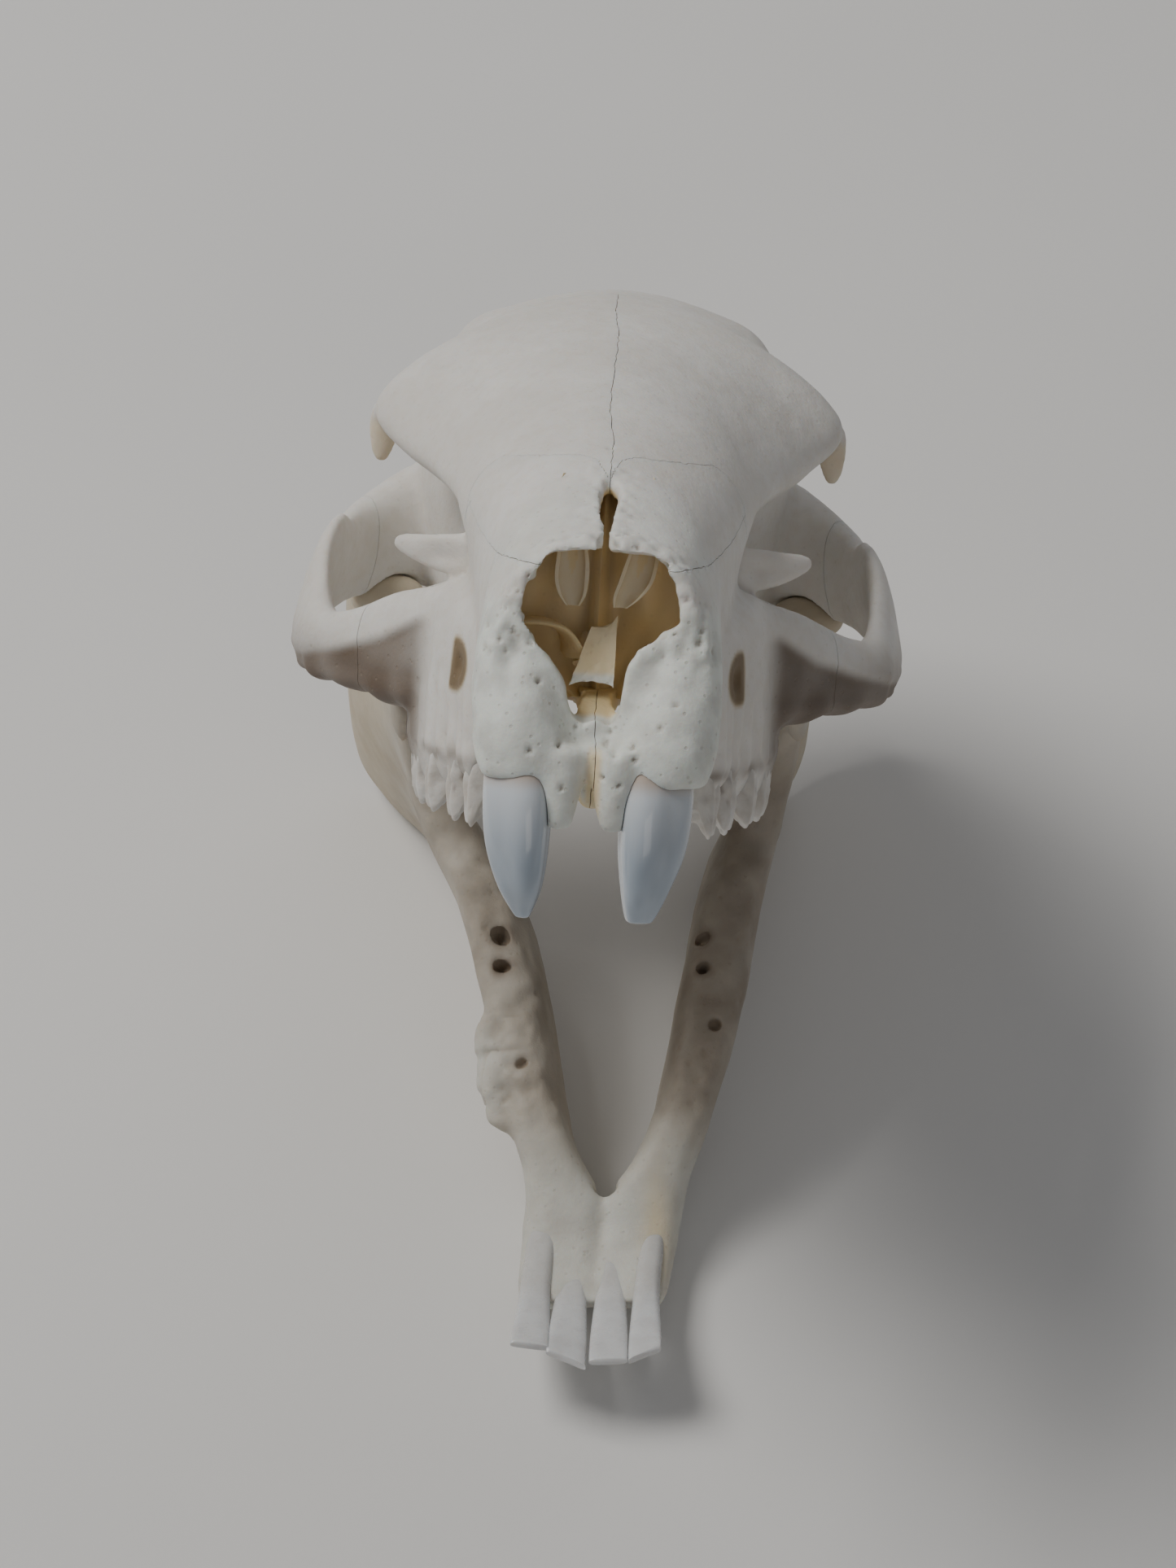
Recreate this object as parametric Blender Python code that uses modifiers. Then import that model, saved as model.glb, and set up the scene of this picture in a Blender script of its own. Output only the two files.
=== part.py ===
"""A rock hyrax skull at life size with the jaws open: cranium, zygomatic arches, tusks, mandible and teeth.

The cranium and the mandible are each described in an anatomical frame, in millimetres: x to the
animal's left, y back from the front of the jaws, z up from the edge of the upper tooth sockets. Two
empties then pose them: the mandible lies on its lower border and the cranium is raised about the
jaw joint.
"""
import math

import bmesh
import bpy
import numpy as np
from mathutils import Matrix, Vector

MM = 0.001

# Pose of the two halves, in degrees
GAPE = 62.8
FLOOR_SLOPE = 19.6
CRANIUM_ROLL = 3.1

# The jaw joint, mm
JOINT_Y = 66.0
JOINT_Z = 8.0
JOINT_X = 18.8
CONDYLE_RADII = (3.6, 2.1, 1.9)
GAP = 0.3

# Mesh resolution, mm, and the triangles each half keeps
COARSE_VOXEL = 0.7
FINE_VOXEL = 0.5
CRANIUM_TRIANGLES = 4800
MANDIBLE_TRIANGLES = 2300

# Profiles of the cranium's core along y, mm: (y, value)
ROOF_HEIGHT = [(4, 17.4), (8, 19.2), (14, 22.2), (22, 25.4), (30, 28.6), (40, 32.0), (50, 34.8),
               (58, 36.3), (66, 36.0), (74, 34.0), (81, 30.6), (86, 27.0), (88.5, 23.0)]
ROOF_EDGE_X = [(4, 6.6), (8, 7.3), (14, 8.2), (22, 10.2), (28, 12.0), (32, 12.8), (38, 15.0), (45, 18.0),
               (50, 20.4), (52, 20.0), (56, 15.4), (60, 14.2), (66, 13.8), (74, 14.2), (81, 14.4),
               (86, 13.0), (88.5, 10.0)]
ROOF_EDGE_Z = [(4, 14.2), (8, 15.8), (14, 17.6), (22, 19.4), (28, 20.0), (32, 20.2), (38, 21.2),
               (45, 22.8), (50, 25.0), (52, 25.6), (56, 29.0), (60, 31.0), (66, 31.4), (74, 29.0),
               (81, 25.5), (86, 22.0), (88.5, 19.0)]
WAIST_X = [(4, 8.6), (8, 9.3), (14, 9.5), (22, 10.4), (28, 11.0), (34, 9.8), (40, 9.0), (48, 9.8),
           (54, 12.4), (60, 15.2), (68, 16.8), (76, 17.2), (83, 16.6), (87, 14.0), (88.5, 11.0)]
WAIST_Z = [(4, 9.0), (8, 10.0), (14, 11.5), (22, 13.0), (28, 14.5), (34, 16.0), (40, 16.5), (48, 17.5),
           (56, 20.0), (64, 20.0), (76, 17.5), (84, 15.5), (88.5, 14.0)]
FLANK_X = [(4, 9.4), (8, 9.6), (14, 9.2), (22, 9.6), (28, 10.4), (34, 9.6), (40, 8.6), (48, 8.4),
           (54, 9.6), (60, 12.6), (68, 14.6), (76, 15.0), (83, 14.0), (88.5, 8.0)]
FLANK_Z = [(4, 2.5), (8, 3.0), (14, 5.4), (22, 7.0), (28, 8.0), (40, 8.5), (56, 9.0), (64, 8.0),
           (76, 6.5), (84, 6.5), (88.5, 8.5)]
FLOOR_Z = [(4, -0.6), (8, 0.2), (12, 3.4), (14, 4.2), (34, 4.2), (52, 4.6), (60, 3.6), (70, 2.6),
           (80, 2.6), (86, 4.2), (88.5, 7.5)]

# The tooth-bearing maxilla along y, mm
MAXILLA_OUTER = [(9, 8.8), (15, 9.9), (20, 11.4), (25, 13.4), (30, 14.8), (36, 15.4), (44, 15.4),
                 (50, 14.6), (54, 13.0)]
MAXILLA_INNER = [(9, 4.5), (15, 5.4), (25, 6.6), (40, 7.6), (54, 7.6)]
MAXILLA_TOP = [(9, 8.0), (15, 9.4), (22, 11.4), (30, 12.4), (36, 10.0), (44, 8.4), (54, 7.0)]
MAXILLA_BASE = [(9, 2.0), (12, 0.2), (15, -1.4), (50, -1.6), (54, 0.6)]

# Zygomatic arch: centre x, y, z, half height, half thickness, inward lean in degrees
ARCH = [
    (12.5, 29.5, 6.6, 5.4, 2.4, 0),
    (16.4, 33.6, 6.0, 4.8, 2.1, 4),
    (20.0, 37.0, 5.5, 3.5, 1.9, 8),
    (23.2, 40.2, 5.5, 3.0, 1.8, 14),
    (24.4, 44.5, 6.8, 3.6, 1.3, 14),
    (24.7, 49.0, 9.0, 4.6, 1.1, 14),
    (24.0, 54.0, 10.8, 5.4, 1.1, 14),
    (23.3, 58.5, 11.0, 4.6, 1.2, 12),
    (22.3, 62.5, 11.8, 4.4, 1.6, 8),
    (19.6, 66.0, 13.0, 4.9, 2.2, 4),
    (15.6, 68.5, 14.6, 5.8, 2.8, 0),
]

# Upper cheek teeth, front to back: length along the row, width across it, mm
UPPER_TEETH = [(4.0, 3.6), (4.9, 4.9), (5.4, 5.7), (5.7, 6.3), (6.3, 6.8), (6.4, 6.8), (5.8, 6.0)]
TOOTH_ROW_START = 15.2
CROWN_HEIGHT = 7.1

# Lower incisors, outer then inner: x at the root and at the tip, width, y of the tip, how far the
# root is lifted out of the bone, mm, and how much the edge slants back toward the side
LOWER_INCISORS = [(4.75, 4.9, 2.9, 0.1, 0.8, 0.35), (1.6, 1.7, 3.1, -0.7, -0.3, 0.15)]

# Mandible along y, mm: heights of its upper and lower borders, then x and half thickness at each
JAW_TOP = [(6.2, -8.2), (7.5, -8.8), (12, -10.2), (17, -9.4), (22, -8.0), (30, -7.6), (45, -7.2),
           (51, -6.6), (54, -3.6), (56, 1.0), (58, 4.0), (63, 5.2), (68, 5.4), (71, 3.4), (74, -1.0),
           (77, -6.5), (79.5, -13.0), (81, -18.6)]
JAW_BASE = [(6.2, -11.0), (7.5, -12.4), (11, -15.4), (20, -18.6), (30, -22.1), (40, -25.7), (50, -29.2),
            (58, -32.1), (63, -33.6), (68, -33.0), (73, -30.2), (77, -26.6), (80, -22.6), (81, -20.6)]
JAW_TOP_X = [(6.2, 2.9), (7.5, 3.0), (14, 3.3), (16.6, 3.6), (18.2, 4.5), (19.6, 5.1), (22, 6.3),
             (25, 7.3), (30, 8.5), (36, 9.6), (45, 11.8), (52, 14.6), (56, 17.0), (60, 18.5), (68, 19.2),
             (75, 20.6), (81, 22.0)]
JAW_TOP_HALF = [(6.2, 3.5), (7.5, 3.7), (12, 3.9), (14, 4.0), (16.6, 3.9), (18.2, 3.4), (19.6, 3.1),
                (22, 3.0), (25, 2.9), (30, 3.2), (36, 3.5), (45, 3.6), (52, 3.1), (56, 1.8), (60, 1.2),
                (68, 1.15), (75, 1.0), (81, 0.9)]
JAW_BASE_X = [(6.2, 2.9), (7.5, 3.0), (14, 3.0), (16.6, 3.3), (18.2, 3.8), (19.6, 4.2), (22, 4.8),
              (25, 5.4), (30, 6.4), (35, 7.2), (40, 7.9), (45, 8.6), (51, 10.7), (55, 12.4), (58, 14.1), (62, 17.2),
              (66, 20.0), (72, 21.5), (76, 21.8), (81, 21.6)]
JAW_BASE_HALF = [(6.2, 3.2), (7.5, 3.4), (14, 3.6), (16.6, 3.4), (18.2, 2.9), (19.6, 2.6), (22, 2.35),
                 (25, 2.2), (30, 2.2), (36, 2.0), (52, 1.8), (60, 2.0), (68, 1.7), (75, 1.2), (81, 0.9)]
# Swollen, broken bone outside the right lower tooth row: centre and radii, mm
CRUST = [((-10.5, 31.2, -9.4), (1.9, 2.7, 1.5)), ((-10.2, 27.6, -9.8), (1.9, 3.2, 1.7)),
         ((-9.5, 24.4, -10.2), (1.6, 2.0, 1.5))]
# What is left of the tooth sockets of the mandible: x, y, depth, mm
SOCKETS = [(-9.8, 40.3, 3.0), (-9.7, 37.2, 2.6), (-7.8, 28.0, 1.4), (-10.4, 44.2, 0.6), (-11.4, 47.6, 0.6),
           (8.2, 40.3, 3.0), (8.4, 37.2, 2.8), (9.4, 31.8, 1.6), (9.9, 44.0, 0.7), (11.2, 47.4, 0.7),
           (8.7, 34.4, 0.5), (8.4, 29.2, 0.6), (7.9, 26.8, 0.5), (7.3, 24.4, 0.4)]
CORONOID = [(17.8, 58.0, 2.0, 2.9, 1.2), (17.4, 58.8, 7.0, 2.1, 1.0), (17.1, 60.0, 12.0, 0.9, 0.7)]
CONDYLE_NECK = [(19.1, 66.5, 2.0, 3.2, 1.2), (18.9, 66.0, 7.5, 2.0, 1.9)]

# The jaw isn't quite even: how far its midline stands to the side along y, mm, and how much further
# the lower borders of its body and its angles do
JAW_SHIFT = [(0, -0.8), (8, -0.4), (14, 0.3), (18, 0.7), (22, 0.9), (28, 1.05), (34, 1.1), (45, 0.9),
             (54, 0.3), (60, 0.0), (81, 0.0)]
LOW_SHIFT = [(0, 0.0), (18, 0.0), (30, 0.3), (46, 0.3), (56, -0.6), (66, -1.4), (81, -1.4)]
REST_CUT = 0.3

# Thin bones in the nose: x, y, z, half height, half thickness, lean
TURBINATE = [(2.8, 8.5, 13.6, 2.0, 0.45, 24), (2.4, 12, 15.2, 3.0, 0.55, 16),
             (2.1, 18, 17.0, 3.4, 0.6, 8), (2.0, 25, 18.6, 3.0, 0.6, 0), (2.0, 30.6, 19.6, 2.4, 0.6, 0)]
VOMER = [(-0.4, 7.3, 5.9, 0.45, 1.8), (-0.4, 9.6, 7.4, 0.45, 1.7), (-0.3, 12.4, 9.3, 0.6, 1.3),
         (-0.1, 15.5, 9.8, 2.4, 0.5), (0, 22, 9.4, 3.4, 0.45), (0, 30.6, 9.6, 4.0, 0.45)]

# Each bone of the cranium, and a point near its middle that tells it from the others, mm
BONE_SEEDS = [
    ("nasal_left", (4, 15, 21)), ("nasal_right", (-4, 15, 21)),
    ("premaxilla_left", (6, 7, 4)), ("premaxilla_right", (-6, 7, 4)),
    ("maxilla_left", (11, 32, 0)), ("maxilla_right", (-11, 32, 0)),
    ("frontal_left", (9, 42, 22)), ("frontal_right", (-9, 42, 22)),
    ("zygomatic_arch_left", (23, 50, 9)), ("zygomatic_arch_right", (-23, 50, 9)),
    ("braincase", (0, 70, 16)), ("occipital", (0, 86, 15)),
]

BONE = (0.80, 0.76, 0.68)
TUSK_ENAMEL = (0.80, 0.82, 0.84)
TOOTH_ENAMEL = (0.84, 0.82, 0.78)


def profile(table, y):
    """Smooth value of a (y, value) table, by cubic Hermite pieces through its points."""
    at = np.array(table, float)
    ys, values = at[:, 0], at[:, 1]
    slopes = np.gradient(values, ys)
    i = int(np.clip(np.searchsorted(ys, y) - 1, 0, len(ys) - 2))
    step = ys[i + 1] - ys[i]
    t = min(max((y - ys[i]) / step, 0.0), 1.0)
    bend = (2 * t**3 - 3 * t**2 + 1) * values[i] + (3 * t**2 - 2 * t**3) * values[i + 1]
    return bend + step * ((t**3 - 2 * t**2 + t) * slopes[i] + (t**3 - t**2) * slopes[i + 1])


def smooth_path(points, per_span):
    """Catmull-Rom points through rows of numbers, per_span to a span, both ends kept."""
    rows = np.array(points, float)
    padded = np.vstack([2 * rows[0] - rows[1], rows, 2 * rows[-1] - rows[-2]])
    out = []
    for i in range(len(rows) - 1):
        a, b, c, d = padded[i:i + 4]
        for k in range(per_span):
            t = k / per_span
            out.append(0.5 * (2 * b + (c - a) * t + (2 * a - 5 * b + 4 * c - d) * t**2
                              + (3 * b - a - 3 * c + d) * t**3))
    out.append(rows[-1])
    return np.array(out)


def smooth_ring(points, per_span):
    """Closed Catmull-Rom ring through the points."""
    rows = np.array(points, float)
    count = len(rows)
    out = []
    for i in range(count):
        a, b, c, d = (rows[(i + k - 1) % count] for k in range(4))
        for k in range(per_span):
            t = k / per_span
            out.append(0.5 * (2 * b + (c - a) * t + (2 * a - 5 * b + 4 * c - d) * t**2
                              + (3 * b - a - 3 * c + d) * t**3))
    return np.array(out)


def mesh_object(name, points, faces):
    """A new object from points in mm, with its faces turned outward."""
    mesh = bpy.data.meshes.new(name)
    mesh.from_pydata([tuple(p) for p in np.asarray(points, float) * MM], [], faces)
    shape = bmesh.new()
    shape.from_mesh(mesh)
    bmesh.ops.recalc_face_normals(shape, faces=shape.faces)
    shape.to_mesh(mesh)
    shape.free()
    obj = bpy.data.objects.new(name, mesh)
    bpy.context.scene.collection.objects.link(obj)
    return obj


def loft(name, rings):
    """A closed solid through rings of equally many points, with flat ends."""
    rings = [np.asarray(r, float) for r in rings]
    count = len(rings[0])
    faces = []
    for i in range(len(rings) - 1):
        for k in range(count):
            n = (k + 1) % count
            faces.append((i * count + k, i * count + n, (i + 1) * count + n, (i + 1) * count + k))
    faces.append(tuple(range(count)))
    faces.append(tuple((len(rings) - 1) * count + k for k in range(count)))
    return mesh_object(name, np.vstack(rings), faces)


def ellipsoid(name, centre, radii, turn=(0, 0, 0)):
    """An ellipsoid from a sphere primitive; centre and radii in mm, turn in degrees."""
    bpy.ops.mesh.primitive_uv_sphere_add(segments=24, ring_count=14, radius=1.0)
    obj = bpy.context.active_object
    obj.name = name
    turned = Matrix.Identity(4)
    for axis, angle in zip("XYZ", turn):
        turned = Matrix.Rotation(math.radians(angle), 4, axis) @ turned
    scaled = Matrix.Diagonal((*[r * MM for r in radii], 1.0))
    obj.data.transform(Matrix.Translation(Vector(centre) * MM) @ turned @ scaled)
    return obj


def oval(centre, across, up, width, height, count=20, squareness=2.0):
    """A ring of a superellipse in the plane of the unit vectors across and up."""
    ring = []
    for k in range(count):
        a = 2 * math.pi * k / count
        c, s = math.cos(a), math.sin(a)
        x = math.copysign(abs(c) ** (2 / squareness), c) * width
        z = math.copysign(abs(s) ** (2 / squareness), s) * height
        ring.append(np.asarray(centre, float) + np.asarray(across) * x + np.asarray(up) * z)
    return ring


def limb(name, stations, per_span=4, count=18, squareness=2.2):
    """A bar swept through stations (x, y, z, half height, half thickness[, lean]) that lie side by side."""
    rows = smooth_path([tuple(s) + (0,) * (6 - len(s)) for s in stations], per_span)
    centres = rows[:, :3]
    rings = []
    for i, row in enumerate(rows):
        ahead = centres[min(i + 1, len(rows) - 1)] - centres[max(i - 1, 0)]
        ahead /= np.linalg.norm(ahead)
        lean = math.radians(row[5])
        up = np.array([-math.sin(lean), 0, math.cos(lean)])
        across = np.cross(ahead, up)
        across /= np.linalg.norm(across)
        up = np.cross(across, ahead)
        rings.append(oval(row[:3], across, up, row[4], row[3], count, squareness))
    return loft(name, rings)


def taper(name, stations, per_span=3, count=16):
    """A round-sided bar through stations (x, y, z, half length in y, half thickness in x), stacked in z."""
    rows = smooth_path(stations, per_span)
    rings = [oval(r[:3], (1, 0, 0), (0, 1, 0), r[4], r[3], count) for r in rows]
    return loft(name, rings)


def slab(name, corners, thickness, normal):
    """A flat plate: a polygon of corners in mm, grown by half the thickness to each side along normal."""
    step = np.asarray(normal, float) / np.linalg.norm(normal) * thickness / 2
    corners = np.asarray(corners, float)
    count = len(corners)
    faces = [tuple(range(count)), tuple(range(count, 2 * count))]
    for k in range(count):
        n = (k + 1) % count
        faces.append((k, n, count + n, count + k))
    return mesh_object(name, np.vstack([corners - step, corners + step]), faces)


def flipped(obj):
    """Turns obj into its own mirror image across the midline."""
    obj.data.transform(Matrix.Diagonal((-1.0, 1.0, 1.0, 1.0)))
    obj.data.flip_normals()
    return obj


def mirrored(obj):
    """A copy of obj on the other side of the midline."""
    twin = obj.copy()
    twin.data = obj.data.copy()
    bpy.context.scene.collection.objects.link(twin)
    return flipped(twin)


def both_sides(pieces):
    return pieces + [mirrored(p) for p in pieces]


def evaluated_mesh(obj):
    bpy.context.view_layer.update()
    graph = bpy.context.evaluated_depsgraph_get()
    return bpy.data.meshes.new_from_object(obj.evaluated_get(graph))


def apply_modifiers(obj):
    mesh = evaluated_mesh(obj)
    old = obj.data
    obj.modifiers.clear()
    obj.data = mesh
    bpy.data.meshes.remove(old)
    return obj


def merged(name, pieces):
    """One object that holds every piece as it is, with the pieces removed."""
    shape = bmesh.new()
    for piece in pieces:
        shape.from_mesh(piece.data)
        bpy.data.objects.remove(piece)
    mesh = bpy.data.meshes.new(name)
    shape.to_mesh(mesh)
    shape.free()
    obj = bpy.data.objects.new(name, mesh)
    bpy.context.scene.collection.objects.link(obj)
    return obj


def fuse(obj, voxel, rounds):
    """Overlapping pieces become one skin on a voxel grid, and its steps are smoothed."""
    grid = obj.modifiers.new("Fuse", "REMESH")
    grid.mode = "VOXEL"
    grid.voxel_size = voxel * MM
    grid.adaptivity = 0.0
    smooth = obj.modifiers.new("Smooth", "SMOOTH")
    smooth.factor = 0.5
    smooth.iterations = rounds
    return apply_modifiers(obj)


def boolean(obj, other, operation, solver="MANIFOLD"):
    """Joins or cuts obj with another object or a list of them, which are removed."""
    others = other if isinstance(other, list) else [other]
    for piece in others:
        step = obj.modifiers.new("Boolean", "BOOLEAN")
        step.operation = operation
        step.solver = solver
        step.object = piece
        apply_modifiers(obj)
        bpy.data.objects.remove(piece)
    return obj


def shells(shape):
    """Groups of connected vertices, the smallest group first."""
    seen = set()
    groups = []
    for start in shape.verts:
        if start in seen:
            continue
        group = [start]
        seen.add(start)
        for vert in group:
            for edge in vert.link_edges:
                other = edge.other_vert(vert)
                if other not in seen:
                    seen.add(other)
                    group.append(other)
        groups.append(group)
    return sorted(groups, key=len)


def grown(obj):
    """Pushes every face of obj out by one gap, to cut the room that it sits in."""
    shape = bmesh.new()
    shape.from_mesh(obj.data)
    shape.normal_update()
    moves = [v.normal * GAP * MM for v in shape.verts]
    for vert, move in zip(shape.verts, moves):
        vert.co += move
    shape.to_mesh(obj.data)
    shape.free()
    return obj


def keep_largest(obj):
    """Drops every loose scrap, so that one closed surface stays."""
    shape = bmesh.new()
    shape.from_mesh(obj.data)
    for group in shells(shape)[:-1]:
        bmesh.ops.delete(shape, geom=group, context="VERTS")
    shape.to_mesh(obj.data)
    shape.free()
    return obj


def loose_parts(obj):
    """One object for each connected surface of obj, which is removed."""
    shape = bmesh.new()
    shape.from_mesh(obj.data)
    groups = [[v.index for v in group] for group in shells(shape)]
    shape.free()
    parts = []
    for k, group in enumerate(groups):
        part = obj.copy()
        part.data = obj.data.copy()
        bpy.context.scene.collection.objects.link(part)
        shape = bmesh.new()
        shape.from_mesh(part.data)
        kept = set(group)
        bmesh.ops.delete(shape, geom=[v for v in shape.verts if v.index not in kept], context="VERTS")
        shape.to_mesh(part.data)
        shape.free()
        parts.append(part)
    bpy.data.objects.remove(obj)
    return parts


def distance_to(obj, seed):
    """From a point in mm to the middle of obj's vertices."""
    points = [v.co for v in obj.data.vertices]
    return (sum(points, Vector()) / len(points) / MM - Vector(seed)).length


def reduce_to(obj, triangles):
    """Collapses edges until about that many triangles are left."""
    shape = bmesh.new()
    shape.from_mesh(obj.data)
    bmesh.ops.triangulate(shape, faces=shape.faces)
    shape.to_mesh(obj.data)
    shape.free()
    step = obj.modifiers.new("Decimate", "DECIMATE")
    step.ratio = min(1.0, triangles / len(obj.data.polygons))
    step.use_collapse_triangulate = True
    return apply_modifiers(obj)


def core_ring(y):
    """Cross-section of the cranium's core at y, from the crown round to the floor."""
    top = profile(ROOF_HEIGHT, y)
    edge_x, edge_z = profile(ROOF_EDGE_X, y), profile(ROOF_EDGE_Z, y)
    waist_x, waist_z = profile(WAIST_X, y), profile(WAIST_Z, y)
    flank_x, flank_z = profile(FLANK_X, y), profile(FLANK_Z, y)
    floor = profile(FLOOR_Z, y)
    half = [(0, top), (0.6 * edge_x, top - 0.29 * (top - edge_z)), (edge_x, edge_z), (waist_x, waist_z),
            (flank_x, flank_z), (0.72 * flank_x, floor)]
    outline = half + [(0, floor)] + [(-x, z) for x, z in reversed(half[1:])]
    ring = smooth_ring(outline, 5)
    return [(x, y, z) for x, z in ring]


def block_ring(y, inner, outer, base, top, squareness=3.2):
    centre = ((inner + outer) / 2, y, (base + top) / 2)
    return oval(centre, (1, 0, 0), (0, 0, 1), (outer - inner) / 2, (top - base) / 2, 32, squareness)


def core():
    return loft("core", [core_ring(y) for y in np.arange(4, 88.6, 1.3)])


def maxilla():
    rings = [block_ring(y, profile(MAXILLA_INNER, y), profile(MAXILLA_OUTER, y), profile(MAXILLA_BASE, y),
                        profile(MAXILLA_TOP, y)) for y in np.arange(9, 54.1, 1.5)]
    return loft("maxilla", rings)


def premaxilla():
    """The bone round a tusk's root, the small lobe beside the midline and the process behind it."""
    sheath = [(5.5, 4.0, -1.4, 2.9, 3.4), (5.8, 4.4, 1.6, 3.6, 3.9), (6.2, 5.6, 5.2, 3.9, 3.6),
              (6.9, 7.0, 8.8, 3.4, 2.7), (7.3, 8.2, 12.0, 3.0, 1.6)]
    lobe = [(2.6, 3.2, 1.5, 2.2, 2.2), (2.6, 3.0, -1.8, 1.9, 1.8), (2.6, 2.8, -5.0, 1.0, 1.0)]
    return [taper("premaxilla_sheath", sheath), taper("premaxilla_lobe", lobe),
            ellipsoid("incisive_process", (0.4, 6.6, -1.0), (1.0, 1.8, 2.9))]


def arch():
    return limb("arch", ARCH)


def base_of_skull():
    """Bullae, condyles, paroccipital processes and the rim of the occiput."""
    return [
        ellipsoid("bulla", (8.2, 73.5, 2.4), (4.2, 6.0, 4.6), (0, 0, -18)),
        ellipsoid("ear_tube", (13.8, 73.4, 6.5), (3.2, 2.4, 2.6)),
        ellipsoid("mastoid", (14.4, 78.6, 8.0), (2.8, 3.8, 6.0)),
        taper("paroccipital", [(13.0, 79.4, 4.0, 2.4, 1.8), (13.2, 79.6, -1.0, 1.7, 1.2),
                               (13.2, 79.8, -5.2, 0.9, 0.7)]),
        ellipsoid("occipital_condyle", (5.0, 87.6, 6.4), (2.6, 3.2, 4.0), (18, 0, 0)),
        limb("nuchal_crest", [(0, 86.8, 28.0, 1.3, 1.3), (7, 86.6, 26.4, 1.3, 1.3),
                              (12.6, 85.6, 22.0, 1.5, 1.2), (15.6, 84.8, 15.0, 1.6, 1.1),
                              (15.0, 84.0, 9.0, 1.4, 1.0)]),
    ]


def thin_processes():
    """Plates that the strong smoothing would wear away."""
    return [
        slab("pterygoid", [(4.8, 55.2, 6.5), (4.8, 55.2, 1.4), (5.0, 59.0, -1.4), (5.2, 61.4, -2.2),
                           (5.4, 62.0, 0.0), (5.8, 63.5, 6.0)], 1.4, (1, 0, 0)),
        limb("lacrimal_process", [(9.6, 29.8, 14.2, 2.0, 0.9), (12.6, 30.2, 14.2, 1.8, 0.8),
                                  (15.0, 31.2, 14.5, 1.3, 0.7), (16.6, 32.2, 14.8, 0.8, 0.6),
                                  (17.2, 32.6, 14.9, 0.4, 0.4)]),
        taper("postorbital_tip", [(18.9, 50.7, 25.4, 1.0, 1.6), (19.2, 51.0, 24.2, 0.8, 1.45),
                                  (19.4, 51.3, 22.8, 0.7, 1.2), (19.5, 51.6, 21.5, 0.6, 0.85),
                                  (19.5, 51.8, 20.7, 0.4, 0.4)]),
    ]


def nose_ring(y):
    """Cross-section of the nasal opening and the cavity behind it."""
    top = profile(ROOF_HEIGHT, y)
    mouth = [(0, 16.5), (3.9, 16.4), (5.4, 14.5), (6.3, 11.5), (4.8, 9.1), (2.8, 6.6), (2.3, 4.6),
             (1.3, 3.1)]
    cavity = [(0, top - 1.5), (3.6, top - 2.2), (6.5, top - 4.8), (7.3, 11.4), (6.6, 8.4), (4.6, 6.6),
              (2.6, 5.6), (1.2, 5.3)]
    share = min(max((y - 5.0) / 4.0, 0.0), 1.0)
    narrow = 1.0 - 0.35 * min(max((y - 16.0) / 14.0, 0.0), 1.0)
    half = [((1 - share) * a + share * narrow * c, (1 - share) * b + share * d)
            for (a, b), (c, d) in zip(mouth, cavity)]
    floor = (1 - share) * 3.5 + share * 5.2
    outline = half + [(0, floor)] + [(-x, z) for x, z in reversed(half[1:])]
    return [(x, y, z) for x, z in smooth_ring(outline, 3)]


def cranium_cutters():
    """Everything that is hollow in the cranium: nose, foramina, choana and the pits of the jaw joint."""
    holes = [loft("nose", [nose_ring(y) for y in (-4, 0, 3, 5, 6, 7, 8, 9, 12, 16, 20, 24, 28, 31)])]
    slot = [oval((2.3, 9.3, z), (1, 0, 0), (0, 1, 0), 1.1, 4.2, 16) for z in (-4, 7)]
    holes += both_sides([
        loft("incisive_foramen", slot),
        limb("infraorbital_foramen", [(11.9, 14, 6.0, 1.6, 0.95), (10.6, 20, 6.0, 1.5, 0.9),
                                      (9.4, 26, 6.0, 0.9, 0.7)], 2, 12),
        ellipsoid("optic_foramen", (11.0, 50.5, 12.5), (3.0, 1.3, 1.6), (0, 0, 30)),
        ellipsoid("ear_opening", (17.0, 73.2, 7.0), (3.4, 1.2, 1.2)),
    ])
    holes += jaw_room()
    holes.append(ellipsoid("foramen_magnum", (0, 90.0, 12.0), (5.6, 6.5, 5.0)))
    holes.append(loft("choana", [oval((0, y, 4.0), (1, 0, 0), (0, 0, 1), 3.9, h, 20)
                                 for y, h in ((66, 0.6), (60, 2.2), (54, 3.4), (48, 3.4), (44, 2.6))]))
    gap = [(0.0, 3.0, 19), (1.1, 4.4, 19), (0.9, 6.0, 19), (1.5, 7.6, 19), (1.0, 9.4, 19), (1.3, 11.2, 19),
           (0.5, 13.4, 19), (-0.4, 11.4, 19), (-0.2, 9.6, 19), (-0.7, 7.8, 19), (-0.1, 6.2, 19),
           (-0.5, 4.8, 19)]
    holes.append(slab("nasal_gap", gap, 11.0, (0, 0, 1)))
    return holes


def jaw_room():
    """The space that the opened jaw's joint and upper edge need, in the cranium's frame."""
    pieces = both_sides([half_jaw(), taper("condyle_neck", CONDYLE_NECK)])
    for side in (-1, 1):
        pieces.append(condyle(side))
    joint = Vector((0, JOINT_Y, JOINT_Z)) * MM
    turn = (Matrix.Translation(joint) @ Matrix.Rotation(math.radians(-CRANIUM_ROLL), 4, "Y")
            @ Matrix.Rotation(math.radians(GAPE), 4, "X") @ Matrix.Translation(-joint))
    for piece in pieces:
        set_uneven(grown(piece)).data.transform(turn)
    return pieces


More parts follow.
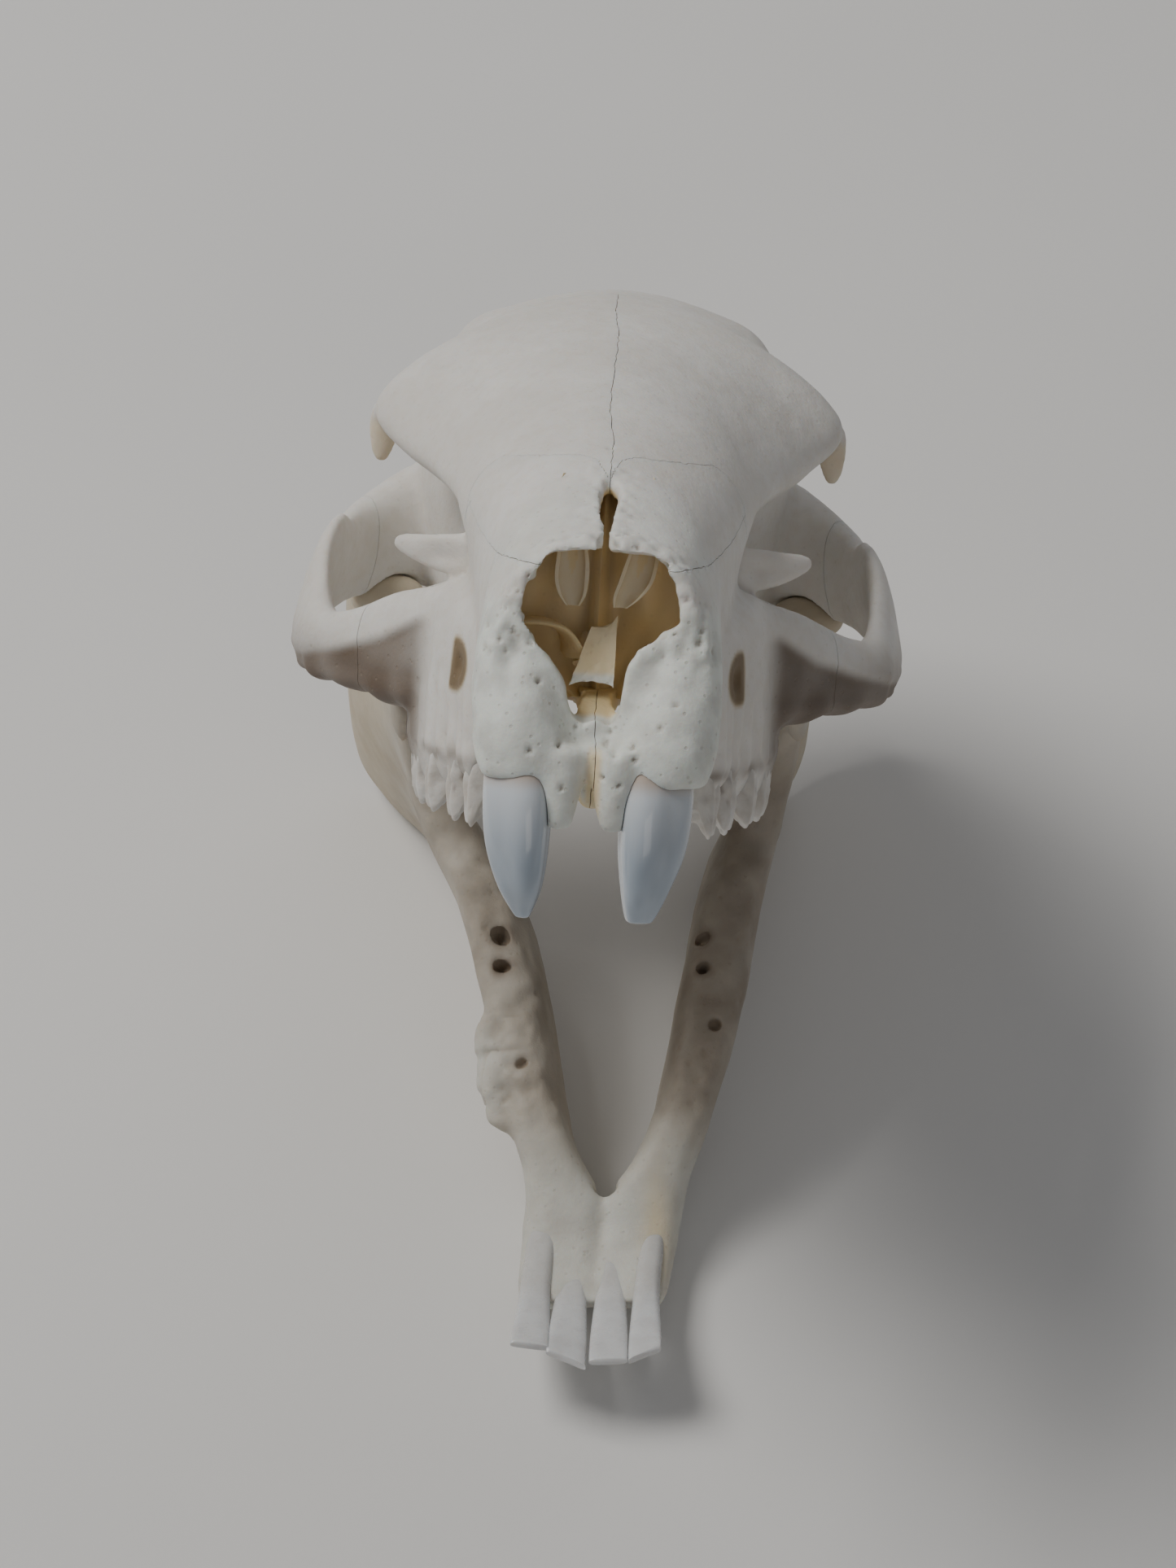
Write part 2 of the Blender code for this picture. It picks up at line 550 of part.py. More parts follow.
def sheet(name, line, low, high, axis="x"):
    """A parting cut one gap thick: a line of (y, z) points drawn out along x, or of (x, y) along z."""
    points = np.array(line, float)
    rings = []
    for i, point in enumerate(points):
        ahead = points[min(i + 1, len(points) - 1)] - points[max(i - 1, 0)]
        normal = np.array([-ahead[1], ahead[0]]) / np.linalg.norm(ahead) * GAP / 2
        near, far = point + normal, point - normal
        if axis == "x":
            rings.append([(low, *near), (high, *near), (high, *far), (low, *far)])
        else:
            rings.append([(*near, low), (*near, high), (*far, high), (*far, low)])
    return loft(name, rings)


def sutures():
    """Thin cuts where the bones of the cranium meet."""
    naso = [(0.8, 15.0), (1.6, 17.0), (4.0, 18.7), (6.6, 21.2), (8.6, 24.2)]
    frontonasal = [(-x, y) for x, y in reversed(naso)] + [(0, 13.6)] + naso
    orbit = [(25.0, 18.7), (26, 17.4), (29, 12.4), (31, 11.3), (36, 11.0), (44, 8.6), (56.1, 6.6)]
    nasal_side = [(-2, 14.8), (4, 15.3), (8, 15.6), (12.2, 15.7), (16, 16.2), (20, 17.0), (25.1, 18.7)]
    return [
        slab("midline", [(0, -4, -8), (0, 56, -8), (0, 56, 46), (0, -4, 46)], GAP, (1, 0, 0)),
        slab("coronal", [(-20, 56, 6.6), (20, 56, 6.6), (20, 56, 44), (-20, 56, 44)], GAP, (0, 1, 0)),
        slab("behind_palate", [(-16, 54.4, -6), (16, 54.4, -6), (16, 54.4, 6.9), (-16, 54.4, 6.9)], GAP,
             (0, 1, 0)),
        slab("lambdoid", [(-19, 83.0, -4), (19, 83.0, -4), (19, 83.0, 42), (-19, 83.0, 42)], GAP,
             (0, 1, 0)),
        sheet("frontonasal", frontonasal, 16.8, 40, "z"),
        sheet("frontomaxillary", orbit, -19.5, 19.5),
        sheet("premaxillary", [(9.4, -8), (10.2, 3), (12.2, 15.9)], -12, 12),
    ] + both_sides([
        sheet("frontonasal_side", [(8.3, 23.7), (8.6, 24.2), (10.2, 25.2), (12.0, 25.1), (15, 25.0)], 18.5, 40,
              "z"),
        sheet("nasomaxillary", nasal_side, 3.6, 15),
        sheet("zygomatic_front", [(16.6, 38.2), (20.8, 33.8)], -4, 14, "z"),
        sheet("zygomatic_back", [(18.9, 62.2), (24.0, 66.2)], 4, 22, "z"),
    ])


def tooth(index, start, x_outer, length, width):
    """A worn upper cheek tooth: a tall outer wall with two cusps, a valley, and a lower inner wall."""
    rings = []
    for k in range(7):
        t = k / 6
        y = start + 0.1 + t * (length - 0.2)
        ends = 0.35 * (2 * t - 1) ** 4
        fold = 0.22 * math.cos(4 * math.pi * t)
        outer = x_outer - ends + fold
        inner = x_outer - width + ends - 0.15 * math.cos(2 * math.pi * t)
        peak = -CROWN_HEIGHT + 0.75 * (1 + math.cos(4 * math.pi * t)) + 0.5 * ends
        low = -CROWN_HEIGHT + 1.5 + 0.5 * (1 + math.cos(4 * math.pi * t)) + 0.5 * ends
        wall = [(outer - 1.8, y, 1.0), (outer, y, -2.8), (outer - 0.25, y, peak + 0.5),
                (outer - 0.6, y, peak), (outer - 1.3, y, peak + 1.1)]
        shelf = [(inner + 0.42 * width, y, low + 0.8), (inner + 0.7, y, low), (inner + 0.1, y, low + 0.9),
                 (inner, y, -2.4), (inner + 1.2, y, 1.0)]
        rings.append(wall + shelf)
    return loft(f"crown_{index}", rings)


def upper_teeth():
    teeth = []
    y = TOOTH_ROW_START
    for index, (length, width) in enumerate(UPPER_TEETH):
        outer = profile(MAXILLA_OUTER, y + length / 2) - 0.5
        teeth.append(tooth(index, y, outer, length, width))
        y += length
    return teeth


def whole_cranium():
    masses = merged("cranium", [core()] + both_sides([maxilla(), arch()] + premaxilla() + base_of_skull()))
    fuse(masses, COARSE_VOXEL, 6)
    boolean(masses, both_sides(thin_processes()), "UNION")
    boolean(masses, cranium_cutters(), "DIFFERENCE")
    fuse(masses, FINE_VOXEL, 1)
    keep_largest(masses)
    reduce_to(masses, CRANIUM_TRIANGLES)
    boolean(masses, both_sides([grown(tusk())]), "DIFFERENCE")
    boolean(masses, both_sides(upper_teeth()), "UNION")
    return keep_largest(masses)


def cranium_bones():
    """The cranium parted along its sutures: a list of objects named after the bones."""
    skull = boolean(whole_cranium(), sutures(), "DIFFERENCE")
    pieces = loose_parts(skull)
    bones = []
    for name, seed in BONE_SEEDS:
        near = min(pieces, key=lambda piece: distance_to(piece, seed))
        pieces.remove(near)
        near.name = near.data.name = name
        bones.append(near)
    for scrap in pieces:
        bpy.data.objects.remove(scrap)
    return bones


def tusk():
    """An upper incisor: three-sided, curved back, with a sharp tip."""
    path = [(5.7, 3.9, 0.2, 2.2, 2.45), (5.55, 3.2, -3.0, 2.3, 2.6), (5.4, 3.1, -6.4, 2.1, 2.4),
            (5.1, 3.5, -9.6, 1.5, 1.7), (4.9, 4.2, -12.2, 0.5, 0.6)]
    rings = []
    for x, y, z, deep, wide in smooth_path(path, 2):
        ring = []
        for k in range(14):
            a = 2 * math.pi * k / 14
            three = 1.0 + 0.13 * math.cos(3 * (a - math.radians(250)))
            ring.append((x + wide * three * math.cos(a), y + deep * three * math.sin(a), z))
        rings.append(ring)
    return loft("tusk", rings)


def condyle(side):
    """The roller of the jaw joint, in the mandible's own frame."""
    turn = Matrix.Rotation(math.radians(-GAPE), 4, "X")
    turn = turn @ Matrix.Rotation(math.radians(CRANIUM_ROLL), 4, "Y")
    centre = Vector((0, JOINT_Y, JOINT_Z)) + turn @ Vector((side * JOINT_X, 0, 0))
    return ellipsoid("condyle", centre, CONDYLE_RADII, (0, side * CRANIUM_ROLL, 0))


def jaw_ring(y):
    """Cross-section of half the mandible at y: a tall plate that may lean and thin downward."""
    top, base = profile(JAW_TOP, y), profile(JAW_BASE, y)
    base_x, base_half = profile(JAW_BASE_X, y), profile(JAW_BASE_HALF, y)
    top_x, top_half = profile(JAW_TOP_X, y), profile(JAW_TOP_HALF, y)
    ring = []
    for w, _, h in oval((0, 0, 0), (1, 0, 0), (0, 0, 1), 1, 1, 32, 3.0):
        up = (h + 1) / 2
        x = (1 - up) * base_x + up * top_x
        half = (1 - up) * base_half + up * top_half
        ring.append((x + w * half, y, base + up * (top - base)))
    return ring


def half_jaw():
    return loft("half_jaw", [jaw_ring(y) for y in np.arange(6.2, 81.1, 1.0)])


def ramp(value):
    """0 below 0, 1 above 1, smooth between."""
    value = min(max(value, 0.0), 1.0)
    return value * value * (3 - 2 * value)


def set_uneven(obj):
    """Moves the chin and the angles of the jaw sideways."""
    for vert in obj.data.vertices:
        y, z = vert.co.y / MM, vert.co.z / MM
        shift = profile(JAW_SHIFT, y) + profile(LOW_SHIFT, y) * ramp((-4 - z) / 14)
        vert.co.x += shift * MM
    return obj


def sockets():
    """The shallow pits that are left of the mandible's tooth sockets."""
    holes = []
    for index, (x, y, deep) in enumerate(SOCKETS):
        wide = 0.75 + 0.12 * deep
        holes.append(ellipsoid(f"socket_{index}", (x, y, profile(JAW_TOP, y)), (wide, 0.8 * wide, deep)))
    return holes


def rest_cutter():
    """Takes a thin slice off the lower border, which lies on the floor."""
    slope = math.radians(FLOOR_SLOPE)
    along = np.array([0, math.cos(slope), -math.sin(slope)])
    down = np.array([0, -math.sin(slope), -math.cos(slope)])
    lowest = max(np.dot((0, y, profile(JAW_BASE, y)), down) for y in np.arange(8, 80, 0.5))
    middle = along * 30 + down * (lowest - REST_CUT + 5)
    return slab("rest", [middle + along * a + np.array([b, 0, 0]) for a, b in
                         ((-60, -40), (60, -40), (60, 40), (-60, 40))], 10, down)


def lower_incisor(x_root, x_tip, width, tip_y, lift, slant):
    """A chisel-shaped incisor that leans forward out of the chin."""
    path = [(x_root, 13.0, lift - 12.4), (x_root * 0.9 + x_tip * 0.1, 8.0, lift - 10.2),
            ((x_root + x_tip) / 2, 3.8, lift / 2 - 7.0), (x_tip, tip_y, -3.2)]
    rings = []
    rows = smooth_path(path, 2)
    for i, row in enumerate(rows):
        share = i / (len(rows) - 1)
        wide = width * (0.38 + 0.11 * ramp((share - 0.4) / 0.35))
        deep = 1.35 - 0.95 * share**1.5
        across = np.array([1, slant * share**3, 0])
        rings.append(oval(row, across, (0, 0.6, 0.8), wide, deep, 12, 3.0))
    return loft("lower_incisor", rings)


def mandible():
    sides = both_sides([half_jaw(), taper("coronoid", CORONOID), taper("condyle_neck", CONDYLE_NECK)])
    for side in (-1, 1):
        sides.append(condyle(side))
    for centre, radii in CRUST:
        sides.append(ellipsoid("crust", centre, radii))
    jaw = merged("mandible", sides)
    fuse(jaw, COARSE_VOXEL, 3)
    boolean(jaw, sockets(), "DIFFERENCE")
    fuse(jaw, FINE_VOXEL, 1)
    reduce_to(keep_largest(jaw), MANDIBLE_TRIANGLES)
    roots = both_sides([grown(lower_incisor(*size)) for size in LOWER_INCISORS])
    boolean(jaw, roots + [rest_cutter()], "DIFFERENCE")
    return set_uneven(keep_largest(jaw))


def material(name, colour, roughness):
    made = bpy.data.materials.new(name)
    made.use_nodes = True
    shader = made.node_tree.nodes["Principled BSDF"]
    shader.inputs["Base Color"].default_value = (*colour, 1.0)
    shader.inputs["Roughness"].default_value = roughness
    shader.inputs["Metallic"].default_value = 0.0
    return made


def pose_frame(name, turn):
    """An empty at the jaw joint. Its children keep the anatomical frame they were built in."""
    empty = bpy.data.objects.new(name, None)
    bpy.context.scene.collection.objects.link(empty)
    empty.matrix_world = turn
    return empty


def stand_on_floor():
    """Moves both frames so that the lowest point is on the floor and the origin is under the middle."""
    bpy.context.view_layer.update()
    corners = [o.matrix_world @ v.co for o in bpy.data.objects if o.type == "MESH" for v in o.data.vertices]
    low = [min(c[k] for c in corners) for k in range(3)]
    high = [max(c[k] for c in corners) for k in range(3)]
    move = Vector((-(low[0] + high[0]) / 2, -(low[1] + high[1]) / 2, -low[2]))
    for obj in bpy.data.objects:
        if obj.type == "EMPTY":
            obj.location += move


def place(obj, empty, finish):
    """Hangs a finished bone on its frame, in the collection named for the skull."""
    obj.data.transform(Matrix.Translation(Vector((0, -JOINT_Y, -JOINT_Z)) * MM))
    obj.parent = empty
    obj.data.materials.clear()
    obj.data.materials.append(finish)
    bpy.context.scene.collection.objects.unlink(obj)
    bpy.data.collections["hyrax_skull"].objects.link(obj)


def main():
    for old in list(bpy.data.objects):
        bpy.data.objects.remove(old)
    bpy.context.scene.collection.children.link(bpy.data.collections.new("hyrax_skull"))
    bone = material("bone", BONE, 0.62)
    tusk_enamel = material("tusk_enamel", TUSK_ENAMEL, 0.22)
    tooth_enamel = material("tooth_enamel", TOOTH_ENAMEL, 0.35)

    lean = (Matrix.Rotation(math.radians(FLOOR_SLOPE - GAPE), 4, "X")
            @ Matrix.Rotation(math.radians(CRANIUM_ROLL), 4, "Y"))
    cranium_frame = pose_frame("cranium_frame", lean)
    mandible_frame = pose_frame("mandible_frame", Matrix.Rotation(math.radians(FLOOR_SLOPE), 4, "X"))

    for piece in cranium_bones() + [limb("vomer", VOMER, 2, 12)]:
        place(piece, cranium_frame, bone)
    for side in ("left", "right"):
        front = [tusk(), limb("turbinate", TURBINATE, 2, 12)]
        lower = [lower_incisor(*size) for size in LOWER_INCISORS]
        names = ("tusk", "turbinate", "lower_incisor_outer", "lower_incisor_inner")
        for piece, name in zip(front + lower, names):
            if side == "right":
                flipped(piece)
            piece.name = piece.data.name = f"{name}_{side}"
        place(front[0], cranium_frame, tusk_enamel)
        place(front[1], cranium_frame, bone)
        for piece in lower:
            place(set_uneven(piece), mandible_frame, tooth_enamel)
    place(mandible(), mandible_frame, bone)
    stand_on_floor()


main()
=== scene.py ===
"""The looks of the hyrax skull: fine bone meshes in place of the plain solids, their materials, and
the floor, lights and camera.

The cranium and the mandible are shaped in an anatomical frame, in millimetres: x to the animal's
left, y back from the front of the jaws, z up from the edge of the upper tooth sockets. They are
then posed about the jaw joint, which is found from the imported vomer.
"""

import math

import bmesh
import bpy
import numpy as np
from mathutils import Matrix, Vector


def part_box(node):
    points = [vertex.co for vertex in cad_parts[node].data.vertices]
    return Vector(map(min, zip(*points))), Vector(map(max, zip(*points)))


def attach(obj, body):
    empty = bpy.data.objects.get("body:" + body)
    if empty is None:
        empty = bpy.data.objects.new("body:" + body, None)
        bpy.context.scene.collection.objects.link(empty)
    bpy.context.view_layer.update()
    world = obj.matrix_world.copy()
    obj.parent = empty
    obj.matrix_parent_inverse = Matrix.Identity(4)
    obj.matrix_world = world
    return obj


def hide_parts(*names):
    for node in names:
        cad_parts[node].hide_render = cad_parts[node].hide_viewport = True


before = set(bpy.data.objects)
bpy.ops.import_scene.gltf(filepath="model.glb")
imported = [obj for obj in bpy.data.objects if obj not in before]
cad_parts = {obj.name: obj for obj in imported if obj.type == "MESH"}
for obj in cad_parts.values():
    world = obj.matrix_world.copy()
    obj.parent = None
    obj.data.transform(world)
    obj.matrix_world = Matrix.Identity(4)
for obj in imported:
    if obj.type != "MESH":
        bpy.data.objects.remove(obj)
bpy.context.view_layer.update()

MM = 0.001

# Pose of the two halves, in degrees
GAPE = 62.8
FLOOR_SLOPE = 19.6
CRANIUM_ROLL = 3.1

# The jaw joint, mm
JOINT_Y = 66.0
JOINT_Z = 8.0
JOINT_X = 18.8
CONDYLE_RADII = (3.6, 2.1, 1.9)

# Grid of the first and of the last remeshing, width of the sutures, and the room left round the
# tusks and round the lower jaw, mm
COARSE = 0.40
FINE = 0.26
SEAM = 0.06
TUSK_ROOM = 0.08
JAW_ROOM = 0.1

# Points along each side of the block of random numbers that the noise repeats
LATTICE = 24

# Edges sharper than this stay sharp in the shading, degrees
SHARP_FROM = 50

# The camera, from the photograph: focal length and scale in its pixels, tilt in degrees, the point
# that it looks at in the cranium's frame, mm, and the height of its sensor, mm
FOCAL = 6000
PHOTO_HEIGHT = 1927
PX_PER_MM = 15.94
CAMERA_TILT = 6.0
TARGET = (-0.9, 3.0, -1.31)
SENSOR = 24.0

# The studio: name, place in m, size in m, power in W and colour of each light; what the lights aim at;
# colour and strength of the light from all around
LIGHTS = [("key", (-0.38, 0.12, 0.62), 0.30, 3.4, (1.0, 0.98, 0.95)),
          ("fill", (0.20, -0.66, 0.42), 0.40, 0.45, (1.0, 0.96, 0.92)),
          ("back", (0.20, 0.60, 0.45), 0.40, 0.4, (0.92, 0.95, 1.0))]
LIT_POINT = (0, 0, 0.04)
AROUND = (0.93, 0.95, 1.0, 1.0)
AROUND_STRENGTH = 0.17
FLOOR_SIZE = 3.0

# The lower incisors as the photograph shows them: name, x at the root and at the tip, width, y of the
# tip, how far the root is lifted out of the bone, mm, and how much the edge slants back to the side
CHISELS = [("outer_right", 5.1, 5.25, 3.3, 0.9, 0.8, 0.15), ("inner_right", 1.9, 2.05, 3.4, -0.3, -0.1, 0.5),
           ("inner_left", 1.6, 1.65, 3.3, -0.5, -0.1, 0.05), ("outer_left", 4.75, 4.8, 2.8, 0.1, 0.7, 0.5)]

# Upper tusks: bluntness of the tip, shift toward the left in mm, and breadth; then the shift of the
# left premaxilla's lobe, mm
TUSKS = {"left": (1.25, -0.85, 1.06), "right": (0.85, 0.0, 1.0)}
LOBE_SHIFT = -0.9

# Colours: two tones each of bone, the jaw's bone (darker, mostly as painted shade) and chalky bone; thin
# bone inside the nose (amber, partly painted light shining through it), dirt and painted shade, painted
# shade in hollows (partly staining), worn bone and painted shade in pores; two tones and the stain of
# cheek teeth and lower incisors, and the painted shade and dirt in the folds of both; a tusk's root,
# tip, streaks and stain; two tones of the floor
BONE = ((0.72, 0.69, 0.64), (0.78, 0.76, 0.72))
SHADED_JAW_BONE = ((0.44, 0.39, 0.32), (0.54, 0.50, 0.43))
CHALK = ((0.79, 0.82, 0.76), (0.66, 0.67, 0.62))
AMBER_LIT_THROUGH = (0.80, 0.64, 0.37)
DIRT_AND_SHADE = (0.10, 0.06, 0.032)
HOLLOW_SHADE = (0.30, 0.21, 0.13)
WORN = (0.62, 0.55, 0.44)
PORE_SHADE = (0.28, 0.22, 0.16)
CHEEK_TOOTH = ((0.74, 0.73, 0.70), (0.63, 0.60, 0.55), (0.36, 0.29, 0.21))
CHISEL = ((0.67, 0.68, 0.68), (0.61, 0.61, 0.61), (0.46, 0.41, 0.33))
TOOTH_FOLD_SHADE = (0.16, 0.10, 0.07)
TUSK_ENDS = ((0.66, 0.69, 0.71), (0.36, 0.42, 0.48))
TUSK_STREAK = (0.62, 0.68, 0.76)
TUSK_STAIN = (0.48, 0.36, 0.26)
FLOOR = ((0.74, 0.73, 0.71), (0.78, 0.77, 0.75))

# Pores in the face: x, z and radius; then the half widths, left and right, of the split between the
# nasals along y, mm
FACE_PORES = [(-2.7, 1.75, 0.22), (-5.0, 1.2, 0.24), (1.5, 1.2, 0.32), (0.8, 1.8, 0.22), (2.8, 1.8, 0.26),
              (3.1, 0.9, 0.24), (1.1, 2.7, 0.22), (0.6, -0.7, 0.2), (-2.4, -1.6, 0.2), (2.0, -1.2, 0.18),
              (-4.6, 6.4, 0.2), (6.0, 5.2, 0.2), (-1.6, 2.9, 0.16), (4.9, 3.4, 0.18)]
GAP_LEFT = [(3, 0.75), (4.4, 0.8), (5.4, 0.35), (6.8, 0.3), (8.0, 0.4), (9.4, 0.65), (11.0, 0.85),
            (12.2, 0.85), (13.2, 0.35), (14.6, 0.1)]
GAP_RIGHT = [(3, 0.7), (4.4, 0.65), (5.4, 0.4), (6.6, 0.3), (7.8, 0.55), (9.2, 0.7), (10.8, 0.8),
             (12.0, 0.7), (13.2, 0.3), (14.6, 0.1)]

# Profiles of the cranium's core along y, mm: (y, value)
ROOF_HEIGHT = [(4, 17.4), (8, 19.2), (14, 22.2), (22, 25.4), (30, 28.6), (40, 32.0), (50, 34.8),
               (58, 36.3), (66, 36.0), (74, 34.0), (81, 30.6), (86, 27.0), (88.5, 23.0)]
ROOF_EDGE_X = [(4, 6.6), (8, 7.3), (14, 8.2), (22, 10.2), (28, 12.0), (32, 12.8), (38, 15.0), (45, 18.0),
               (50, 20.4), (52, 20.0), (56, 15.4), (60, 14.2), (66, 13.8), (74, 14.2), (81, 14.4),
               (86, 13.0), (88.5, 10.0)]
ROOF_EDGE_Z = [(4, 14.2), (8, 15.8), (14, 17.6), (22, 19.4), (28, 20.0), (32, 20.2), (38, 21.2),
               (45, 22.8), (50, 25.0), (52, 25.6), (56, 29.0), (60, 31.0), (66, 31.4), (74, 29.0),
               (81, 25.5), (86, 22.0), (88.5, 19.0)]
WAIST_X = [(4, 8.6), (8, 9.3), (14, 9.5), (22, 10.4), (28, 11.0), (34, 9.8), (40, 9.0), (48, 9.8),
           (54, 12.4), (60, 15.2), (68, 16.8), (76, 17.2), (83, 16.6), (87, 14.0), (88.5, 11.0)]
WAIST_Z = [(4, 9.0), (8, 10.0), (14, 11.5), (22, 13.0), (28, 14.5), (34, 16.0), (40, 16.5), (48, 17.5),
           (56, 20.0), (64, 20.0), (76, 17.5), (84, 15.5), (88.5, 14.0)]
FLANK_X = [(4, 9.4), (8, 9.6), (14, 9.2), (22, 9.6), (28, 10.4), (34, 9.6), (40, 8.6), (48, 8.4),
           (54, 9.6), (60, 12.6), (68, 14.6), (76, 15.0), (83, 14.0), (88.5, 8.0)]
FLANK_Z = [(4, 2.5), (8, 3.0), (14, 5.4), (22, 7.0), (28, 8.0), (40, 8.5), (56, 9.0), (64, 8.0),
           (76, 6.5), (84, 6.5), (88.5, 8.5)]
FLOOR_Z = [(4, -0.6), (8, 0.2), (12, 3.4), (14, 4.2), (34, 4.2), (52, 4.6), (60, 3.6), (70, 2.6),
           (80, 2.6), (86, 4.2), (88.5, 7.5)]

# The tooth-bearing maxilla along y, mm
MAXILLA_OUTER = [(9, 8.8), (15, 9.9), (20, 11.4), (25, 13.4), (30, 14.8), (36, 15.4), (44, 15.4),
                 (50, 14.6), (54, 13.0)]
MAXILLA_INNER = [(9, 4.5), (15, 5.4), (25, 6.6), (40, 7.6), (54, 7.6)]
MAXILLA_TOP = [(9, 8.0), (15, 9.4), (22, 11.4), (30, 12.4), (36, 10.0), (44, 8.4), (54, 7.0)]
MAXILLA_BASE = [(9, 2.0), (12, 0.2), (15, -1.4), (50, -1.6), (54, 0.6)]

# Zygomatic arch: centre x, y, z, half height, half thickness, inward lean in degrees
ARCH = [
    (12.5, 29.5, 6.6, 5.4, 2.4, 0),
    (16.4, 33.6, 6.0, 4.8, 2.1, 4),
    (20.0, 37.0, 5.5, 3.5, 1.9, 8),
    (23.2, 40.2, 5.5, 3.0, 1.8, 14),
    (24.4, 44.5, 6.8, 3.6, 1.3, 14),
    (24.7, 49.0, 9.0, 4.6, 1.1, 14),
    (24.0, 54.0, 10.8, 5.4, 1.1, 14),
    (23.3, 58.5, 11.0, 4.6, 1.2, 12),
    (22.3, 62.5, 11.8, 4.4, 1.6, 8),
    (19.6, 66.0, 13.0, 4.9, 2.2, 4),
    (15.6, 68.5, 14.6, 5.8, 2.8, 0),
]

# Upper cheek teeth, front to back: length along the row, width across it, mm
UPPER_TEETH = [(4.0, 3.6), (4.9, 4.9), (5.4, 5.7), (5.7, 6.3), (6.3, 6.8), (6.4, 6.8), (5.8, 6.0)]
TOOTH_ROW_START = 15.2
CROWN_HEIGHT = 7.1

# Mandible along y, mm: heights of its upper and lower borders, then x and half thickness at each
JAW_TOP = [(6.2, -8.2), (7.5, -8.8), (12, -10.2), (17, -9.4), (22, -8.0), (30, -7.6), (45, -7.2),
           (51, -6.6), (54, -3.6), (56, 1.0), (58, 4.0), (63, 5.2), (68, 5.4), (71, 3.4), (74, -1.0),
           (77, -6.5), (79.5, -13.0), (81, -18.6)]
JAW_BASE = [(6.2, -11.0), (7.5, -12.4), (11, -15.4), (20, -18.6), (30, -22.1), (40, -25.7), (50, -29.2),
            (58, -32.1), (63, -33.6), (68, -33.0), (73, -30.2), (77, -26.6), (80, -22.6), (81, -20.6)]
JAW_TOP_X = [(6.2, 2.9), (7.5, 3.0), (14, 3.3), (16.6, 3.6), (18.2, 4.5), (19.6, 5.1), (22, 6.3),
             (25, 7.3), (30, 8.5), (36, 9.6), (45, 11.8), (52, 14.6), (56, 17.0), (60, 18.5), (68, 19.2),
             (75, 20.6), (81, 22.0)]
JAW_TOP_HALF = [(6.2, 3.5), (7.5, 3.7), (12, 3.9), (14, 4.0), (16.6, 3.9), (18.2, 3.4), (19.6, 3.1),
                (22, 3.0), (25, 2.9), (30, 3.2), (36, 3.5), (45, 3.6), (52, 3.1), (56, 1.8), (60, 1.2),
                (68, 1.15), (75, 1.0), (81, 0.9)]
JAW_BASE_X = [(6.2, 2.9), (7.5, 3.0), (14, 3.0), (16.6, 3.3), (18.2, 3.8), (19.6, 4.2), (22, 4.8),
              (25, 5.4), (30, 6.4), (35, 7.2), (40, 7.9), (45, 8.6), (51, 10.7), (55, 12.4), (58, 14.1),
              (62, 17.2), (66, 20.0), (72, 21.5), (76, 21.8), (81, 21.6)]
JAW_BASE_HALF = [(6.2, 3.2), (7.5, 3.4), (14, 3.6), (16.6, 3.4), (18.2, 2.9), (19.6, 2.6), (22, 2.35),
                 (25, 2.2), (30, 2.2), (36, 2.0), (52, 1.8), (60, 2.0), (68, 1.7), (75, 1.2), (81, 0.9)]
# Swollen, broken bone outside the right lower tooth row: centre and radii, mm
CRUST = [((-10.5, 31.2, -9.4), (1.9, 2.7, 1.5)), ((-10.2, 27.6, -9.8), (1.9, 3.2, 1.7)),
         ((-9.5, 24.4, -10.2), (1.6, 2.0, 1.5))]
# What is left of the tooth sockets of the mandible: x, y, depth, mm
SOCKETS = [(-9.8, 40.3, 3.0), (-9.7, 37.2, 2.6), (-7.8, 28.0, 1.4), (-10.4, 44.2, 0.6), (-11.4, 47.6, 0.6),
           (8.2, 40.3, 3.0), (8.4, 37.2, 2.8), (9.4, 31.8, 1.6), (9.9, 44.0, 0.7), (11.2, 47.4, 0.7),
           (8.7, 34.4, 0.5), (8.4, 29.2, 0.6), (7.9, 26.8, 0.5), (7.3, 24.4, 0.4)]
# Processes at the back of the mandible: x, y, z, half length in y, half thickness in x, mm
CORONOID = [(17.8, 58.0, 2.0, 2.9, 1.2), (17.4, 58.8, 7.0, 2.1, 1.0), (17.1, 60.0, 12.0, 0.9, 0.7)]
CONDYLE_NECK = [(19.1, 66.5, 2.0, 3.2, 1.2), (18.9, 66.0, 7.5, 2.0, 1.9)]

# The jaw isn't quite even: how far its midline stands to the side along y, mm, and how much further
# the lower borders of its body and its angles do
JAW_SHIFT = [(0, -0.8), (8, -0.4), (14, 0.3), (18, 0.7), (22, 0.9), (28, 1.05), (34, 1.1), (45, 0.9),
             (54, 0.3), (60, 0.0), (81, 0.0)]
LOW_SHIFT = [(0, 0.0), (18, 0.0), (30, 0.3), (46, 0.3), (56, -0.6), (66, -1.4), (81, -1.4)]
# How much of the lower border is taken off where it lies on the floor, mm
REST_CUT = 0.3

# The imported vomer, front to back: x, y, z, half height, half thickness, mm
VOMER = [(-0.4, 7.3, 5.9, 0.45, 1.8), (-0.4, 9.6, 7.4, 0.45, 1.7), (-0.3, 12.4, 9.3, 0.6, 1.3),
         (-0.1, 15.5, 9.8, 2.4, 0.5), (0, 22, 9.4, 3.4, 0.45), (0, 30.6, 9.6, 4.0, 0.45)]

# Where along y the cross-sections of the core, of the maxilla and of the mandible are taken, mm
CORE_SECTIONS = np.arange(4, 88.6, 0.65)
MAXILLA_SECTIONS = np.arange(9, 54.1, 1.5)
JAW_SECTIONS = np.arange(6.2, 81.1, 0.6)

# The folded lining at the back of the nose: (z, half width), mm
LINING_HALF = [(4.6, 2.4), (6.6, 5.4), (8.4, 7.2), (11.4, 7.8), (15.8, 7.0), (19.6, 4.4), (22, 3.6)]

